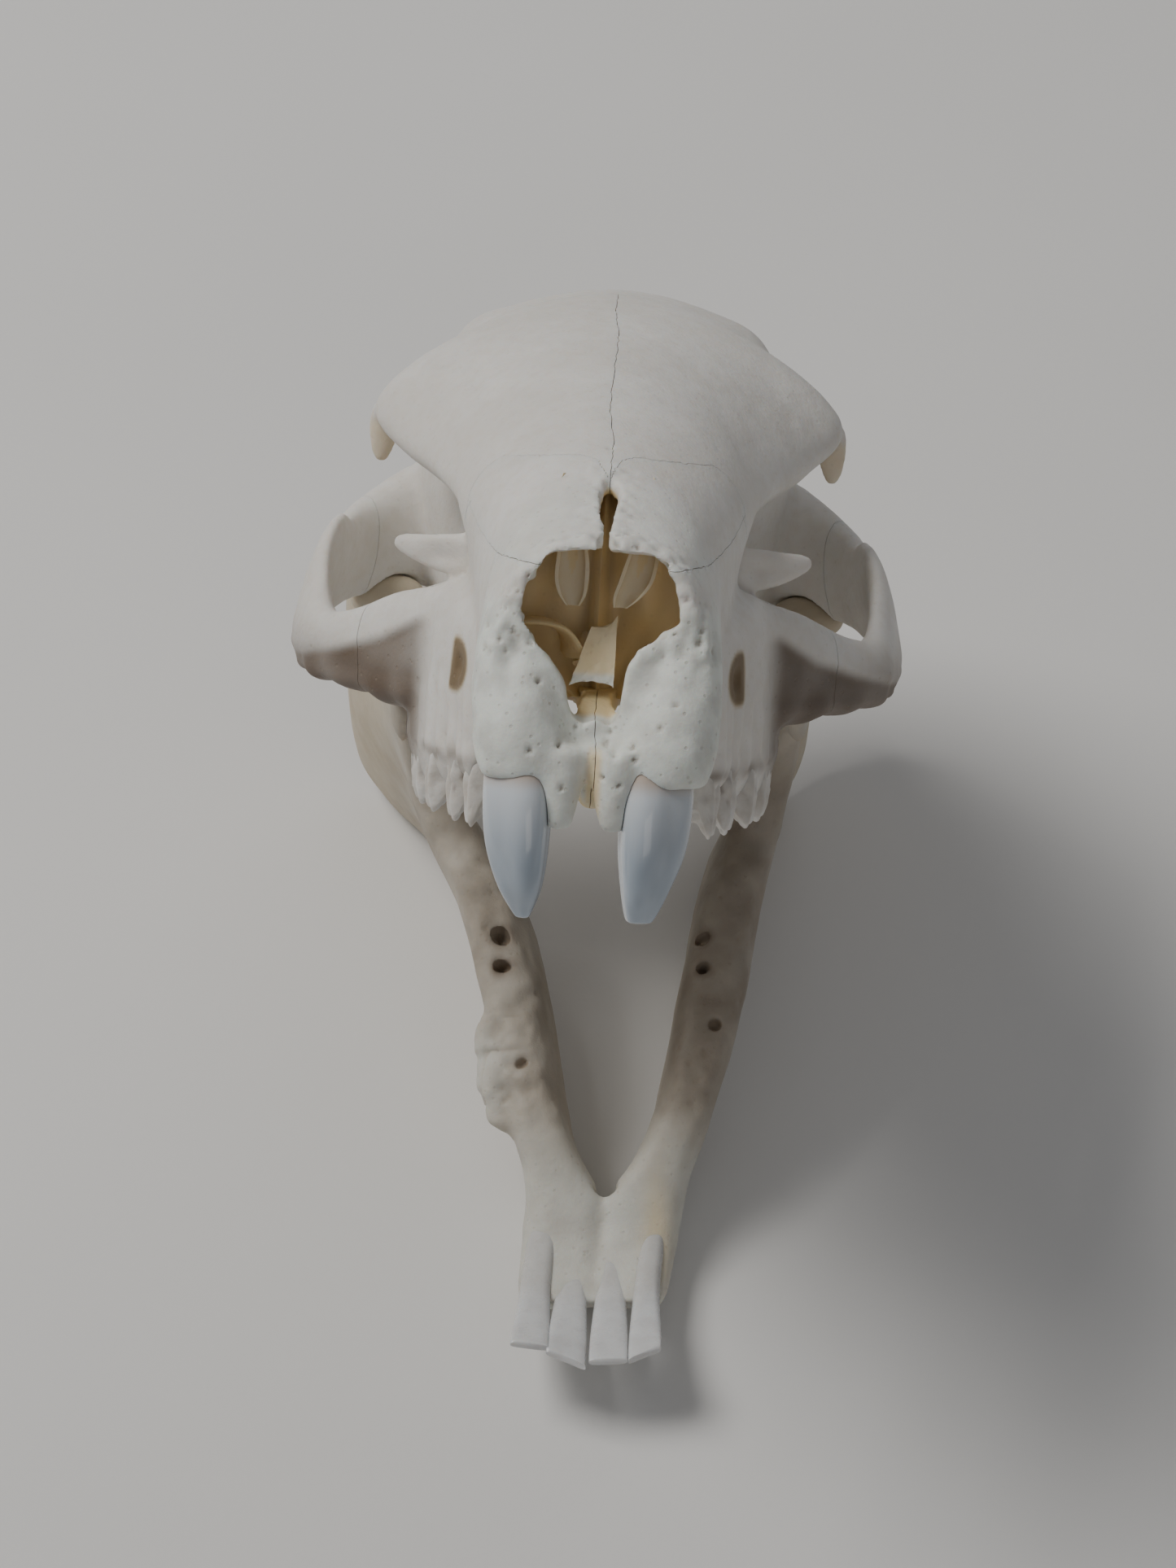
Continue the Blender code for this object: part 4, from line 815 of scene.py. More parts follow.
def nose_ring(y):
    """Cross-section of the nasal opening, uneven as the photo's, and of the cavity behind it."""
    top = profile(ROOF_HEIGHT, y)
    mouth = [(0, 16.5), (3.9, 16.4), (5.4, 14.5), (6.3, 11.5), (4.8, 9.1), (2.8, 6.6), (2.3, 4.6),
             (1.3, 3.1)]
    cavity = [(0, top - 1.5), (3.6, top - 2.2), (6.5, top - 4.8), (7.3, 11.4), (6.6, 8.4), (4.6, 6.6),
              (2.6, 5.6), (1.2, 5.3)]
    share = min(max((y - 5.0) / 4.0, 0.0), 1.0)
    narrow = 1.0 - 0.35 * min(max((y - 16.0) / 14.0, 0.0), 1.0)
    crusted = mouth[:3] + [(6.1, 11.3), (3.7, 9.7), (2.2, 7.7), (1.9, 5.2), (1.3, 3.1)]
    half, other = [[((1 - share) * a + share * narrow * c, (1 - share) * b + share * d)
                    for (a, b), (c, d) in zip(edge, cavity)] for edge in (crusted, mouth)]
    floor = (1 - share) * 3.5 + share * 5.2
    outline = half + [(0, floor)] + [(-x, z) for x, z in reversed(other[1:])]
    return [(x, y, z) for x, z in smooth_ring(outline, 3)]


def nasal_gap():
    """The narrow split between the nasal bones, with a saw-toothed edge."""
    rng = np.random.default_rng(61)
    outline = []
    for turn, widths in ((1, GAP_LEFT), (-1, GAP_RIGHT)):
        edge = []
        for k, y in enumerate(np.arange(3.0, 14.6, 0.27)):
            tooth = 0.15 * (1 if k % 2 else -1) * rng.uniform(0.3, 1.1) * (4.2 < y < 13.6)
            half = max(profile(widths, y) + tooth, 0.06)
            edge.append((turn * half + 0.1, y + rng.uniform(-0.07, 0.07)))
        outline += edge if turn > 0 else edge[::-1]
    return slab("nasal_gap", [(x, y, 19) for x, y in outline], 11.0, (0, 0, 1))


def root_lobes():
    """The scalloped lower edge of the maxilla: a small lobe of bone over each outer root."""
    rng = np.random.default_rng(63)
    lobes = []
    for y in tooth_peaks():
        place = (profile(MAXILLA_OUTER, y) - 0.65, y, -1.3 + rng.uniform(-0.25, 0.25))
        lobes.append(ellipsoid("lobe", place, (0.85, rng.uniform(0.9, 1.15), rng.uniform(1.7, 2.2))))
    return lobes


def whole_cranium():
    """The cranium in one piece, hollowed and roughened, with room for the tusks."""
    sheath, lobe, process = premaxilla()
    halves = both_sides([maxilla(), limb("arch", ARCH), sheath, process] + base_of_skull() + root_lobes())
    right_lobe = mirrored(lobe)
    lobe.data.transform(Matrix.Translation((LOBE_SHIFT * MM, 0, 0)))
    masses = merged("cranium", [core(), lobe, right_lobe] + halves)
    fuse(masses, COARSE, 18)
    boolean(masses, both_sides(thin_processes()), "UNION")
    boolean(masses, cranium_cutters() + [nasal_gap()], "DIFFERENCE")
    fuse(masses, FINE, 3)
    masses = keep_largest(masses)
    sculpt_cranium(masses)
    left, right = (grown(tusk(*TUSKS[side]), TUSK_ROOM) for side in ("left", "right"))
    return boolean(masses, [left, flipped(right)], "DIFFERENCE")


def cranium_bones():
    """The cranium parted along its sutures: a list of objects and the nodes that each stands for."""
    pieces = loose_parts(boolean(whole_cranium(), sutures(), "DIFFERENCE"))
    large = pieces[:len(BONE_SEEDS)]
    owners = {}
    for name, seed in BONE_SEEDS:
        near = min(large, key=lambda piece: np.linalg.norm(points_of(piece).mean(axis=0) - seed))
        owners.setdefault(near.name, []).append(name)
    bones = []
    for piece in pieces:
        if piece.name in owners:
            bones.append((piece, owners[piece.name]))
        else:
            bpy.data.objects.remove(piece)
    return bones


def worn_sockets():
    """The small holes left of the mandible's tooth sockets, each of three that run together."""
    rng = np.random.default_rng(64)
    holes = []
    for x, y, deep in SOCKETS:
        for _ in range(3):
            wide = (0.34 + 0.08 * deep) * rng.uniform(0.75, 1.1)
            place = (x + rng.uniform(-0.35, 0.35), y + rng.uniform(-0.28, 0.28), profile(JAW_TOP, y))
            holes.append(ellipsoid("socket", place, (wide, 0.8 * wide, deep * rng.uniform(0.6, 1.0))))
    return holes


def fork_end(jaw):
    """The rounded end of the space between the jaw's halves."""
    middle = points_of(jaw)
    middle = middle[np.abs(middle[:, 0]) < 0.3]
    tops = np.array([profile(JAW_TOP, y) for y in middle[:, 1]])
    upper = middle[middle[:, 2] > tops - 2.5]
    back = upper[:, 1].max()
    return ellipsoid("fork", (0, back + 0.35, profile(JAW_TOP, back) - 2), (1.25, 1.0, 4.5))


def whole_mandible():
    """The lower jaw in one piece, with what is left of its sockets, at rest on the floor."""
    sides = both_sides([half_jaw(), taper("coronoid", CORONOID), taper("condyle_neck", CONDYLE_NECK)])
    sides += [condyle(-1), condyle(1)]
    sides += [ellipsoid("crust", centre, radii) for centre, radii in CRUST]
    jaw = merged("mandible", sides)
    fuse(jaw, COARSE, 9)
    boolean(jaw, worn_sockets() + [fork_end(jaw)], "DIFFERENCE")
    fuse(jaw, FINE, 3)
    jaw = keep_largest(jaw)
    sculpt_mandible(jaw)
    boolean(jaw, [rest_cutter()], "DIFFERENCE")
    return set_uneven(keep_largest(jaw))


def tusk(blunt, shift, broad):
    """An upper incisor: three-sided, curved back, with a more or less worn tip."""
    path = [(5.7, 3.9, 0.2, 2.2, 2.45), (5.55, 3.2, -3.0, 2.3, 2.6), (5.4, 3.1, -6.4, 2.1, 2.4),
            (5.1, 3.5, -9.6, 1.5, 1.7), (4.9, 4.2, -11.8, 0.66 * blunt, 0.82 * blunt),
            (4.88, 4.25, -12.15, 0.25 * blunt, 0.4 * blunt)]
    path = [(x + shift, y, z, deep, wide * broad) for x, y, z, deep, wide in path]
    rings = []
    for x, y, z, deep, wide in smooth_path(path, 9):
        ring = []
        for k in range(48):
            a = 2 * math.pi * k / 48
            three = 1.0 + 0.13 * math.cos(3 * (a - math.radians(250)))
            ring.append((x + wide * three * math.cos(a), y + deep * three * math.sin(a), z))
        rings.append(ring)
    return loft("tusk", rings)


def lower_incisor(x_root, x_tip, width, tip_y, lift, slant):
    """A chisel-shaped incisor that leans forward out of the chin, round at its root, flat at its edge."""
    path = [(x_root, 13.0, lift - 12.4), (x_root * 0.9 + x_tip * 0.1, 8.0, lift - 10.2),
            ((x_root + x_tip) / 2, 3.8, lift / 2 - 7.0), (x_tip, tip_y + 0.1, -3.3)]
    rings = []
    rows = smooth_path(path, 8)
    for i, row in enumerate(rows):
        share = i / (len(rows) - 1)
        wide = width * (0.41 + 0.10 * ramp((share - 0.3) / 0.6))
        deep = 1.35 - 0.95 * share**1.5
        across = (1, slant * share**3, 0)
        square = 2.5 + 0.9 * share**2
        rings.append(np.array(oval(row, across, (0, 0.6, 0.8), wide, deep, 40, square)))
    last = rings[-1]
    middle = last.mean(axis=0)
    for shrink, ahead in ((0.90, 0.12), (0.70, 0.19)):
        rings.append(middle + (last - middle) * (1, shrink, shrink) + (0, -0.8 * ahead, 0.6 * ahead))
    return loft("lower_incisor", rings)


def crown(index, start, x_outer, length, width):
    """An upper cheek tooth: an outer wall with two cusps, two cross ridges, and lower inner cusps."""
    rings = []
    for k in range(19):
        t = k / 18
        y = start + 0.06 + t * (length - 0.12)
        ends = 0.65 * abs(2 * t - 1) ** 6
        fold = 0.22 * math.cos(4 * math.pi * (t - 0.02)) + 0.08 * math.cos(8 * math.pi * t)
        outer, inner = x_outer - ends + fold, x_outer - width + ends
        ring = [(outer - 1.6, y, 1.2), (outer - 0.1, y, -1.6), (outer, y, -3.4)]
        for u in (0.03, 0.10, 0.20, 0.34, 0.48, 0.62, 0.76, 0.88, 0.96):
            front = math.exp(-((t - 0.24 - 0.05 * u) / 0.11) ** 2)
            back = math.exp(-((t - 0.72 - 0.06 * u) / 0.11) ** 2)
            ridge = max(front, back)
            wall = math.exp(-((u - 0.12) / 0.15) ** 2) * (0.82 + 0.14 * ridge)
            cusp = math.exp(-((u - 0.80) / 0.16) ** 2) * ridge * 0.62
            height = max(wall, cusp, 0.42 * ridge)
            ring.append((outer + u * (inner - outer), y, -CROWN_HEIGHT + 2.7 - 2.7 * height + 0.25 * ends))
        ring += [(inner, y, -3.2), (inner + 0.2, y, -1.6), (inner + 1.4, y, 1.2)]
        rings.append(ring)
    return loft(f"crown_{index}", rings)


def cheek_teeth():
    """The upper row of the left side as one object with rounded edges."""
    crowns = []
    y = TOOTH_ROW_START
    for index, (length, width) in enumerate(UPPER_TEETH):
        crowns.append(crown(index, y, profile(MAXILLA_OUTER, y + length / 2) - 0.5, length, width))
        y += length
    row = merged("cheek_teeth", crowns)
    rounded = row.modifiers.new("Round", "SUBSURF")
    rounded.levels = rounded.render_levels = 2
    apply_modifiers(row)
    p = points_of(row)
    chipped = 0.16 * grain(p, 1.0, 31) + 0.08 * grain(p, 0.5, 33) - 0.22 * pits(p, 1.3, 0.42, 0.5, 32)
    set_points(row, p + normals_of(row) * chipped[:, None])
    return row


def turbinate(lean):
    """A spoon of thin bone that hangs from the roof of the nose, hollow toward the front."""
    path = [(2.6 + 0.6 * lean, 8.4, 17.2, 0.8, 1.05), (2.5 + 0.4 * lean, 8.2, 15.6, 0.95, 1.3),
            (2.5, 8.1, 14.1, 1.0, 1.35), (2.4 - 0.5 * lean, 8.1, 12.9, 0.85, 1.1),
            (2.3 - 0.9 * lean, 8.3, 12.0, 0.45, 0.55)]
    rings = []
    for x, y, z, deep, wide in smooth_path(path, 7):
        shell = []
        for radius in (1.0, 0.78):
            arc = [math.radians(-14 + 208 * k / 22) for k in range(23)]
            if radius < 1:
                arc = arc[::-1]
            shell += [(x + wide * radius * math.cos(a), y + deep * radius * math.sin(a), z) for a in arc]
        rings.append(shell)
    return loft("turbinate_scroll", rings)


def nasal_lining():
    """The folded sheet of bone at the back of the nose, seen between the turbinates."""
    rings = []
    for z in np.linspace(4.6, 22.0, 54):
        half = profile(LINING_HALF, z)
        front = []
        for u in np.linspace(-1, 1, 61):
            folds = 0.30 * math.cos(8.5 * u + 0.45 * z) + 0.12 * math.sin(17 * u - 0.7 * z)
            ridge = 1.3 * math.exp(-((u + 0.04) / 0.07) ** 2)
            lean = 0.9 * max(z - 17.0, 0.0)
            front.append((u * half, 12.8 - 2.6 * u * u + folds - ridge + lean, z))
        rings.append(front + [(x, y + 0.8, z) for x, y, z in reversed(front)])
    return loft("nasal_lining", rings)


def vomer_plate():
    """A shovel-shaped sheet with a spongy, arched lower edge, and the bar of bone behind it."""
    rings = []
    for k in range(25):
        v = k / 24
        z, y = 5.8 + 4.6 * v, 7.2 + 1.6 * v
        centre, half = -0.55 + 0.8 * v, 1.75 - 0.75 * v
        front = []
        for u in np.linspace(-1, 1, 33):
            arched = 0.45 * (1 - v) * (1 - u * u)
            front.append((centre + half * u, y + 0.35 * (1 - u * u), z + arched + 0.9 * v * max(u, 0) ** 2))
        rings.append(front + [(px, py + 0.35, pz) for px, py, pz in reversed(front)])
    sheet = loft("vomer_sheet", rings)
    p = points_of(sheet)
    edge = np.maximum(1 - rise(p[:, 2], 6.2, 6.9), rise(p[:, 2], 9.3, 10.2))
    p += normals_of(sheet) * (0.06 * grain(p, 0.6, 51) - 0.16 * pits(p, 0.6, 0.24, 0.6, 52)
                              + edge * 0.14 * grain(p, 0.45, 54))[:, None]
    set_points(sheet, p)
    return merged("vomer_plate", [sheet, limb("vomer_bar", VOMER[1:], 8, 28)])


def nasal_shelf():
    """The lower scroll of the right nasal wall: a thin shelf that curls down at its inner edge."""
    return limb("nasal_shelf", [(-7.4, 9.6, 10.2, 0.3, 2.4), (-5.6, 9.4, 10.6, 0.28, 2.5),
                                (-4.0, 9.4, 10.5, 0.28, 2.4), (-2.9, 9.6, 9.9, 0.3, 2.2),
                                (-2.3, 9.8, 8.9, 0.34, 1.8), (-2.0, 10.0, 7.9, 0.4, 1.3)], 5, 20)


def find_hinge():
    """Where the jaw joint is in the frame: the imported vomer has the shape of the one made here."""
    probe = limb("probe", VOMER, 2, 12)
    probe.data.transform(CRANIUM_TURN @ Matrix.Translation(-JOINT))
    low = Vector(np.array([v.co for v in probe.data.vertices]).min(axis=0))
    bpy.data.objects.remove(probe)
    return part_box("vomer")[0] - low


def cranium_tones(p, n):
    """Amber inside the nose and in thin bone, partly painted light shining through it; a chalky snout;
    painted shade under the arches, on the lower sides of the maxilla behind them and deep in the infraorbital
    foramina; and a darker band along the edge of the upper tooth sockets.
    """
    x, y, z = p.T
    side = np.abs(x)
    inward = rise(-(n[:, 0] * x + n[:, 2] * (z - 11.0)) / (np.hypot(x, z - 11.0) + 0.1), 0.0, 0.35)
    inside = rise(y, 4.6, 7.4) * (y < 33) * (side < 8.2) * rise(z, 3.4, 4.6)
    pale_wall = (x < 0) * rise(-x, 3.0, 6.0) * rise(z, 10.0, 13.0)
    nose = inside * inward * (1 - 0.45 * pale_wall)
    off_axis = np.hypot((side - 12.4 + 0.14 * (y - 13.0)) / 1.05, (z - 6.0) / 1.65)
    foramen = (1 - rise(off_axis, 1.12, 1.5)) * rise(y, 13.0, 14.0) * (1 - rise(y, 20.6, 21.4))
    tips = rise(side, 17.2, 18.4) * rise(y, 49.3, 50.4) * (1 - rise(z, 23.6, 25.0)) * (z > 19) * (y < 54)
    palate = (1 - rise(side, 2.2, 2.9)) * (1 - rise(z, 4.9, 5.6)) * rise(y, 5.2, 6.2) * (1 - rise(y, 12, 14))
    notch = (1 - rise(side, 0.25, 0.8)) * (1 - rise(z, 0.8, 2.0)) * (y < 8)
    # amber: partly the thin bone's own tone, partly painted light shining through it
    amber = np.max([nose, foramen, 0.45 * tips, palate, 0.8 * notch], axis=0)
    snout = (1 - rise(y, 8.5, 12)) * (1 - rise(z, 11, 14))
    bridge = (1 - rise(y, 10, 16)) * rise(z, 12, 16)
    chalk = np.maximum(snout, 0.45 * bridge) * (1 - amber)
    # painted shade: dark brown on the hollow lower face of each zygomatic arch
    arch_shade = under_arch(x, y, z) * (0.85 + 0.15 * grain(p, 3.0, 41))
    # painted shade on the lower sides of the maxilla behind the front of the arches
    behind = rise(side, 9.5, 12) * rise(y, 34, 40) * (1 - rise(y, 56, 60)) * (1 - rise(z, 4.0, 9.0))
    gums = rise(side, 7.5, 9) * np.exp(-((z + 1.6 + 0.4 * grain(p, 1.6, 46)) / 0.6) ** 2)
    gums *= (y > 14) * (y < 54) * (0.6 + 0.4 * grain(p, 1.2, 42))
    # painted shade inside the infraorbital foramina, darker further in
    foramen_shade = foramen * (0.5 + 0.35 * rise(y, 14.5, 18.0))
    return amber, chalk, np.max([0.95 * arch_shade, 0.5 * behind, 0.75 * gums, foramen_shade], axis=0)


def mandible_tones(p, _):
    """Dirt and painted shade in the sockets and along the tooth row, painted shadow toward the tips of the
    coronoid processes, amber in thin bone, partly painted light shining through it, and pale chalky bone at
    the crust and the chin.
    """
    x, y, z = p.T
    row = rise(y, 22, 27) * (1 - rise(y, 53, 57)) * rise(z, -13.5, -9.0)
    # dirt along the tooth row, darker toward the animal's left partly as painted shade; a dark patch beside
    # the left tooth row; painted shadow on the coronoid processes above z 5 mm
    dirt_and_shade = [row * (0.12 + 0.20 * grain(p, 2.4, 43) + 0.22 * rise(x, 2, 6)),
            0.45 * bell(p, (9.4, 33.0, -8.0), (2.4, 7.0, 2.5)), 0.9 * rise(z, 5.0, 8.0) * (y < 62)]
    # dirt and painted shade in the sockets, darker the deeper each is
    for out, at, deep in SOCKETS:
        centre = (out + profile(JAW_SHIFT, at), at, profile(JAW_TOP, at) - 0.5)
        spread = 0.7 + 0.32 * deep
        pit = bell(p, centre, (spread, 0.85 * spread, 2.2)) * (0.8 + 0.3 * grain(p, 1.3, 47))
        dirt_and_shade.append(pit * min(0.95, 0.12 + 0.28 * deep))
    crusty = (x < -6) * bell(p, (-10.4, 28, -9.5), (2.6, 5.5, 2.6))
    thin_side = 0.55 * bell(p, (5.2, 13.0, -10.0), (1.3, 5.0, 4.0))
    chin = (1 - rise(y, 15, 26)) * (1 - 0.5 * thin_side)
    # amber: partly the thin bone's own tone, partly painted light shining through it
    amber = np.maximum(thin_side, 0.25 * rise(y, 56, 64))
    return amber, 0.5 * np.maximum(crusty, chin), np.max(dirt_and_shade, axis=0) * (1 - 0.9 * crusty)


def scroll_tones(p, n):
    """Amber, partly painted light shining through the thin bone, paler on the face of what hangs at the front
    of the nose.
    """
    none = np.zeros(len(p))
    face = (p[:, 1] < 8.9) * rise(p[:, 2], 10.0, 12.0) * (np.abs(n[:, 1]) > 0.3)
    return 0.9 - 0.33 * face + 0.10 * grain(p, 1.5, 44), none, none


def vomer_tones(p, _):
    """Amber, partly painted light shining through the thin bone, with a chalky lower edge at the front."""
    y, z = p[:, 1], p[:, 2]
    chalk = (1 - rise(z, 6.5, 7.1)) * (y < 8.6)
    return (0.8 - 0.15 * rise(z, 8.0, 10.0)) * (1 - chalk), chalk, np.zeros(len(p))


def tooth_tones(p, _):
    """Patchy stains that thin out toward the worn ends of the crowns."""
    none = np.zeros(len(p))
    return none, none, 0.20 + 0.20 * grain(p, 1.6, 45) - 0.2 * rise(-p[:, 2], 4.5, 6.5)


def paint_tones(obj, tones, rounds=8):
    """Paints where obj is amber, chalky, stained or in painted shade, hollow and rough, for the materials to
    read.
    """
    amber, chalk, stain_and_shade = tones(points_of(obj), normals_of(obj))
    layers = {"amber": amber, "chalk": chalk, "stain_and_shade": stain_and_shade, "hollow": hollowness(obj, rounds) / 0.16,
              "rough": chalk * 0.25 + stain_and_shade * 0.4 + 0.15}
    for name, values in layers.items():
        paint(obj, name, values)


class Nodes:
    """Adds shader nodes to a new material, with plain values or other nodes' outputs as inputs."""

    def __init__(self, name):
        self.material = bpy.data.materials.new(name)
        self.material.use_nodes = True
        self.tree = self.material.node_tree
        self.shader = self.tree.nodes["Principled BSDF"]
        self.place = self.add("ShaderNodeTexCoord").outputs["Object"]

    def add(self, kind, settings=(), **inputs):
        node = self.tree.nodes.new(kind)
        for key, value in dict(settings).items():
            setattr(node, key, value)
        for key, value in inputs.items():
            self.give(node.inputs[key.replace("_", " ")], value)
        return node

    def give(self, socket, value):
        if isinstance(value, bpy.types.NodeSocket):
            self.tree.links.new(value, socket)
        elif isinstance(value, tuple) and len(value) == 3 and socket.type == "RGBA":
            socket.default_value = (*value, 1.0)
        else:
            socket.default_value = value

    def noise(self, size, detail=3.0, rough=0.55):
        """Noise with features of that size in mm."""
        return self.add("ShaderNodeTexNoise", Vector=self.place, Scale=1000.0 / size, Detail=detail,
                        Roughness=rough).outputs["Fac"]

    def pores(self, size):
        """Distance to scattered points that far apart, in mm."""
        return self.add("ShaderNodeTexVoronoi", Vector=self.place, Scale=1000.0 / size,
                        Randomness=1.0).outputs["Distance"]

    def layer(self, name):
        return self.add("ShaderNodeAttribute", {"attribute_name": name}).outputs["Fac"]

    def mix(self, factor, a, b):
        node = self.add("ShaderNodeMix", {"data_type": "RGBA"})
        self.give(node.inputs[0], factor)
        self.give(node.inputs[6], a)
        self.give(node.inputs[7], b)
        return node.outputs[2]

    def band(self, value, low, high, to_low=0.0, to_high=1.0):
        node = self.add("ShaderNodeMapRange", {"interpolation_type": "SMOOTHSTEP"}, Value=value)
        for key, number in zip(("From Min", "From Max", "To Min", "To Max"), (low, high, to_low, to_high)):
            node.inputs[key].default_value = number
        return node.outputs["Result"]

    def compute(self, operation, a, b):
        node = self.add("ShaderNodeMath", {"operation": operation})
        self.give(node.inputs[0], a)
        self.give(node.inputs[1], b)
        return node.outputs[0]

    def times(self, a, b):
        return self.compute("MULTIPLY", a, b)

    def plus(self, a, b):
        return self.compute("ADD", a, b)

    def bump(self, height, depth_mm, strength=1.0, under=None):
        node = self.add("ShaderNodeBump", Strength=strength, Distance=depth_mm * MM, Height=height)
        if under is not None:
            self.give(node.inputs["Normal"], under)
        return node.outputs["Normal"]

    def finish(self, **sockets):
        for key, value in sockets.items():
            self.give(self.shader.inputs[key.replace("_", " ")], value)
        return self.material


def bone_material(name, pale, warm):
    """Dry bone in two mottled tones, with painted shade, partly staining, in its hollows, painted shade in
    its fine pores, and a faint grain.
    """
    made = Nodes(name)
    broad = made.band(made.noise(9.0), 0.35, 0.68)
    fine = made.band(made.noise(1.1, 4.0), 0.38, 0.70)
    colour = made.mix(broad, pale, warm)
    colour = made.mix(made.times(fine, 0.20), colour, WORN)
    chalky = made.mix(made.band(made.noise(2.6, 4.0), 0.36, 0.68), *CHALK)
    colour = made.mix(made.layer("chalk"), colour, chalky)
    # amber: partly the thin bone's own tone, partly painted light shining through it
    colour = made.mix(made.layer("amber"), colour, AMBER_LIT_THROUGH)
    # the stain layer: dirt, and painted shade under the arches, in the foramina and sockets and on the jaw
    colour = made.mix(made.layer("stain_and_shade"), colour, DIRT_AND_SHADE)
    # painted shade in the hollows, partly staining
    colour = made.mix(made.times(made.layer("hollow"), 0.45), colour, HOLLOW_SHADE)
    specks = made.times(made.band(made.pores(0.9), 0.10, 0.20, 1.0, 0.0), made.layer("rough"))
    # pores darkened with painted shade
    colour = made.mix(made.times(specks, 0.6), colour, PORE_SHADE)
    skin = made.bump(made.noise(0.35, 4.0, 0.6), 0.035)
    relief = made.bump(made.plus(made.noise(1.6, 4.0), made.times(specks, -0.8)), 0.10, 1.0, skin)
    roughness = made.band(made.noise(2.5), 0.3, 0.7, 0.52, 0.70)
    return made.finish(Base_Color=colour, Roughness=roughness, Normal=relief, Subsurface_Weight=0.22,
                       Subsurface_Scale=0.0012, Subsurface_Radius=(1.0, 0.55, 0.30), Specular_IOR_Level=0.4)


def tusk_material():
    """Bluish enamel with faint lengthwise streaks, glossy and a little clear."""
    made = Nodes("tusk_enamel_look")
    colour = made.mix(made.layer("along"), *TUSK_ENDS)
    colour = made.mix(made.times(made.layer("streak"), 0.30), colour, TUSK_STREAK)
    colour = made.mix(made.times(made.layer("stain_and_shade"), 0.75), colour, TUSK_STAIN)
    relief = made.bump(made.plus(made.layer("streak"), made.times(made.noise(0.5), 0.3)), 0.02)
    return made.finish(Base_Color=colour, Roughness=made.band(made.noise(1.5), 0.3, 0.7, 0.10, 0.18),
                       Normal=relief, Subsurface_Weight=0.3, Subsurface_Scale=0.0016,
                       Subsurface_Radius=(0.6, 0.8, 1.0), Specular_IOR_Level=0.6, Coat_Weight=0.4,
                       Coat_Roughness=0.06)


def tooth_material(name, pale, warm, stain_colour, relief_mm, gloss):
    """Enamel in two mottled tones, with painted shade and dirt in its folds, and a fine relief."""
    made = Nodes(name)
    colour = made.mix(made.band(made.noise(1.8), 0.35, 0.7), pale, warm)
    colour = made.mix(made.layer("stain_and_shade"), colour, stain_colour)
    # painted shade and dirt in the folds
    colour = made.mix(made.times(made.layer("hollow"), 0.9), colour, TOOTH_FOLD_SHADE)
    relief = made.bump(made.noise(0.6, 4.0), relief_mm)
    return made.finish(Base_Color=colour, Roughness=made.band(made.noise(1.2), 0.3, 0.7, gloss, gloss + 0.15),
                       Normal=relief, Subsurface_Weight=0.2, Subsurface_Scale=0.0008,
                       Subsurface_Radius=(1.0, 0.7, 0.5), Specular_IOR_Level=0.5)


def show(obj, name, look, turn, nodes=()):
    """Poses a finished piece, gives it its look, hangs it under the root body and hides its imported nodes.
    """
    obj.data.transform(Matrix.Translation(HINGE) @ turn @ Matrix.Translation(-JOINT))
    obj.name = obj.data.name = name
    obj.data.materials.clear()
    obj.data.materials.append(look)
    obj.data.shade_smooth()
    obj.data.set_sharp_from_angle(angle=math.radians(SHARP_FROM))
    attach(obj, "root")
    if nodes:
        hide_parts(*nodes)


def show_tusk(side, look):
    """A tusk, with faint streaks along it, bluer toward its tip and stained at its root."""
    fang = tusk(*TUSKS[side])
    if side == "right":
        flipped(fang)
    p = points_of(fang)
    paint(fang, "streak", 0.5 + 0.5 * grain(p * (1.6, 1.6, 0.12), 0.9, 53))
    paint(fang, "along", rise(-p[:, 2], 0.5, 9.0))
    paint(fang, "stain_and_shade", 1 - rise(-p[:, 2], 0.6, 2.2))
    show(fang, f"tusk_{side}_enamel", look, CRANIUM_TURN, [f"tusk_{side}"])


def show_chisel(name, size, look):
    """A lower incisor, stained toward its root."""
    chisel = lower_incisor(*size)
    chisel = set_uneven(flipped(chisel) if name.endswith("right") else chisel)
    p = points_of(chisel)
    paint(chisel, "stain_and_shade", 0.30 * (1 - rise(-p[:, 1], -9.0, -5.0)))
    paint(chisel, "hollow", np.zeros(len(p)))
    show(chisel, f"lower_incisor_{name}_enamel", look, MANDIBLE_TURN,
         [f"lower_incisor_{name}"])


def build():
    """Every visible piece of the skull."""
    bone = bone_material("bone_look", *BONE)
    # the jaw's bone: browner, mostly as painted shade
    jaw_bone = bone_material("shaded_jaw_bone_look", *SHADED_JAW_BONE)
    enamel = tusk_material()
    tooth = tooth_material("cheek_tooth_look", *CHEEK_TOOTH, relief_mm=0.07, gloss=0.34)
    chisel_look = tooth_material("chisel_look", *CHISEL, relief_mm=0.015, gloss=0.22)
    for piece, names in cranium_bones():
        paint_tones(piece, cranium_tones)
        show(piece, names[0] + "_bone", bone, CRANIUM_TURN, names)
    plate = vomer_plate()
    paint_tones(plate, vomer_tones)
    show(plate, "vomer_bone", bone, CRANIUM_TURN, ["vomer"])
    for made, name in ((nasal_shelf(), "nasal_shelf"), (nasal_lining(), "nasal_lining")):
        paint_tones(made, scroll_tones)
        show(made, name, bone, CRANIUM_TURN)
    for side, lean in (("left", 1.0), ("right", 0.0)):
        scroll = turbinate(lean)
        if side == "right":
            flipped(scroll)
        paint_tones(scroll, scroll_tones)
        show(scroll, f"turbinate_{side}_scroll", bone, CRANIUM_TURN, [f"turbinate_{side}"])
        row = cheek_teeth()
        if side == "right":
            flipped(row)
        paint_tones(row, tooth_tones, 3)
        show(row, f"upper_cheek_teeth_{side}", tooth, CRANIUM_TURN)
        show_tusk(side, enamel)
    for name, *size in CHISELS:
        show_chisel(name, size, chisel_look)
    jaw = whole_mandible()
    paint_tones(jaw, mandible_tones)
    show(jaw, "mandible_bone", jaw_bone, MANDIBLE_TURN, ["mandible"])


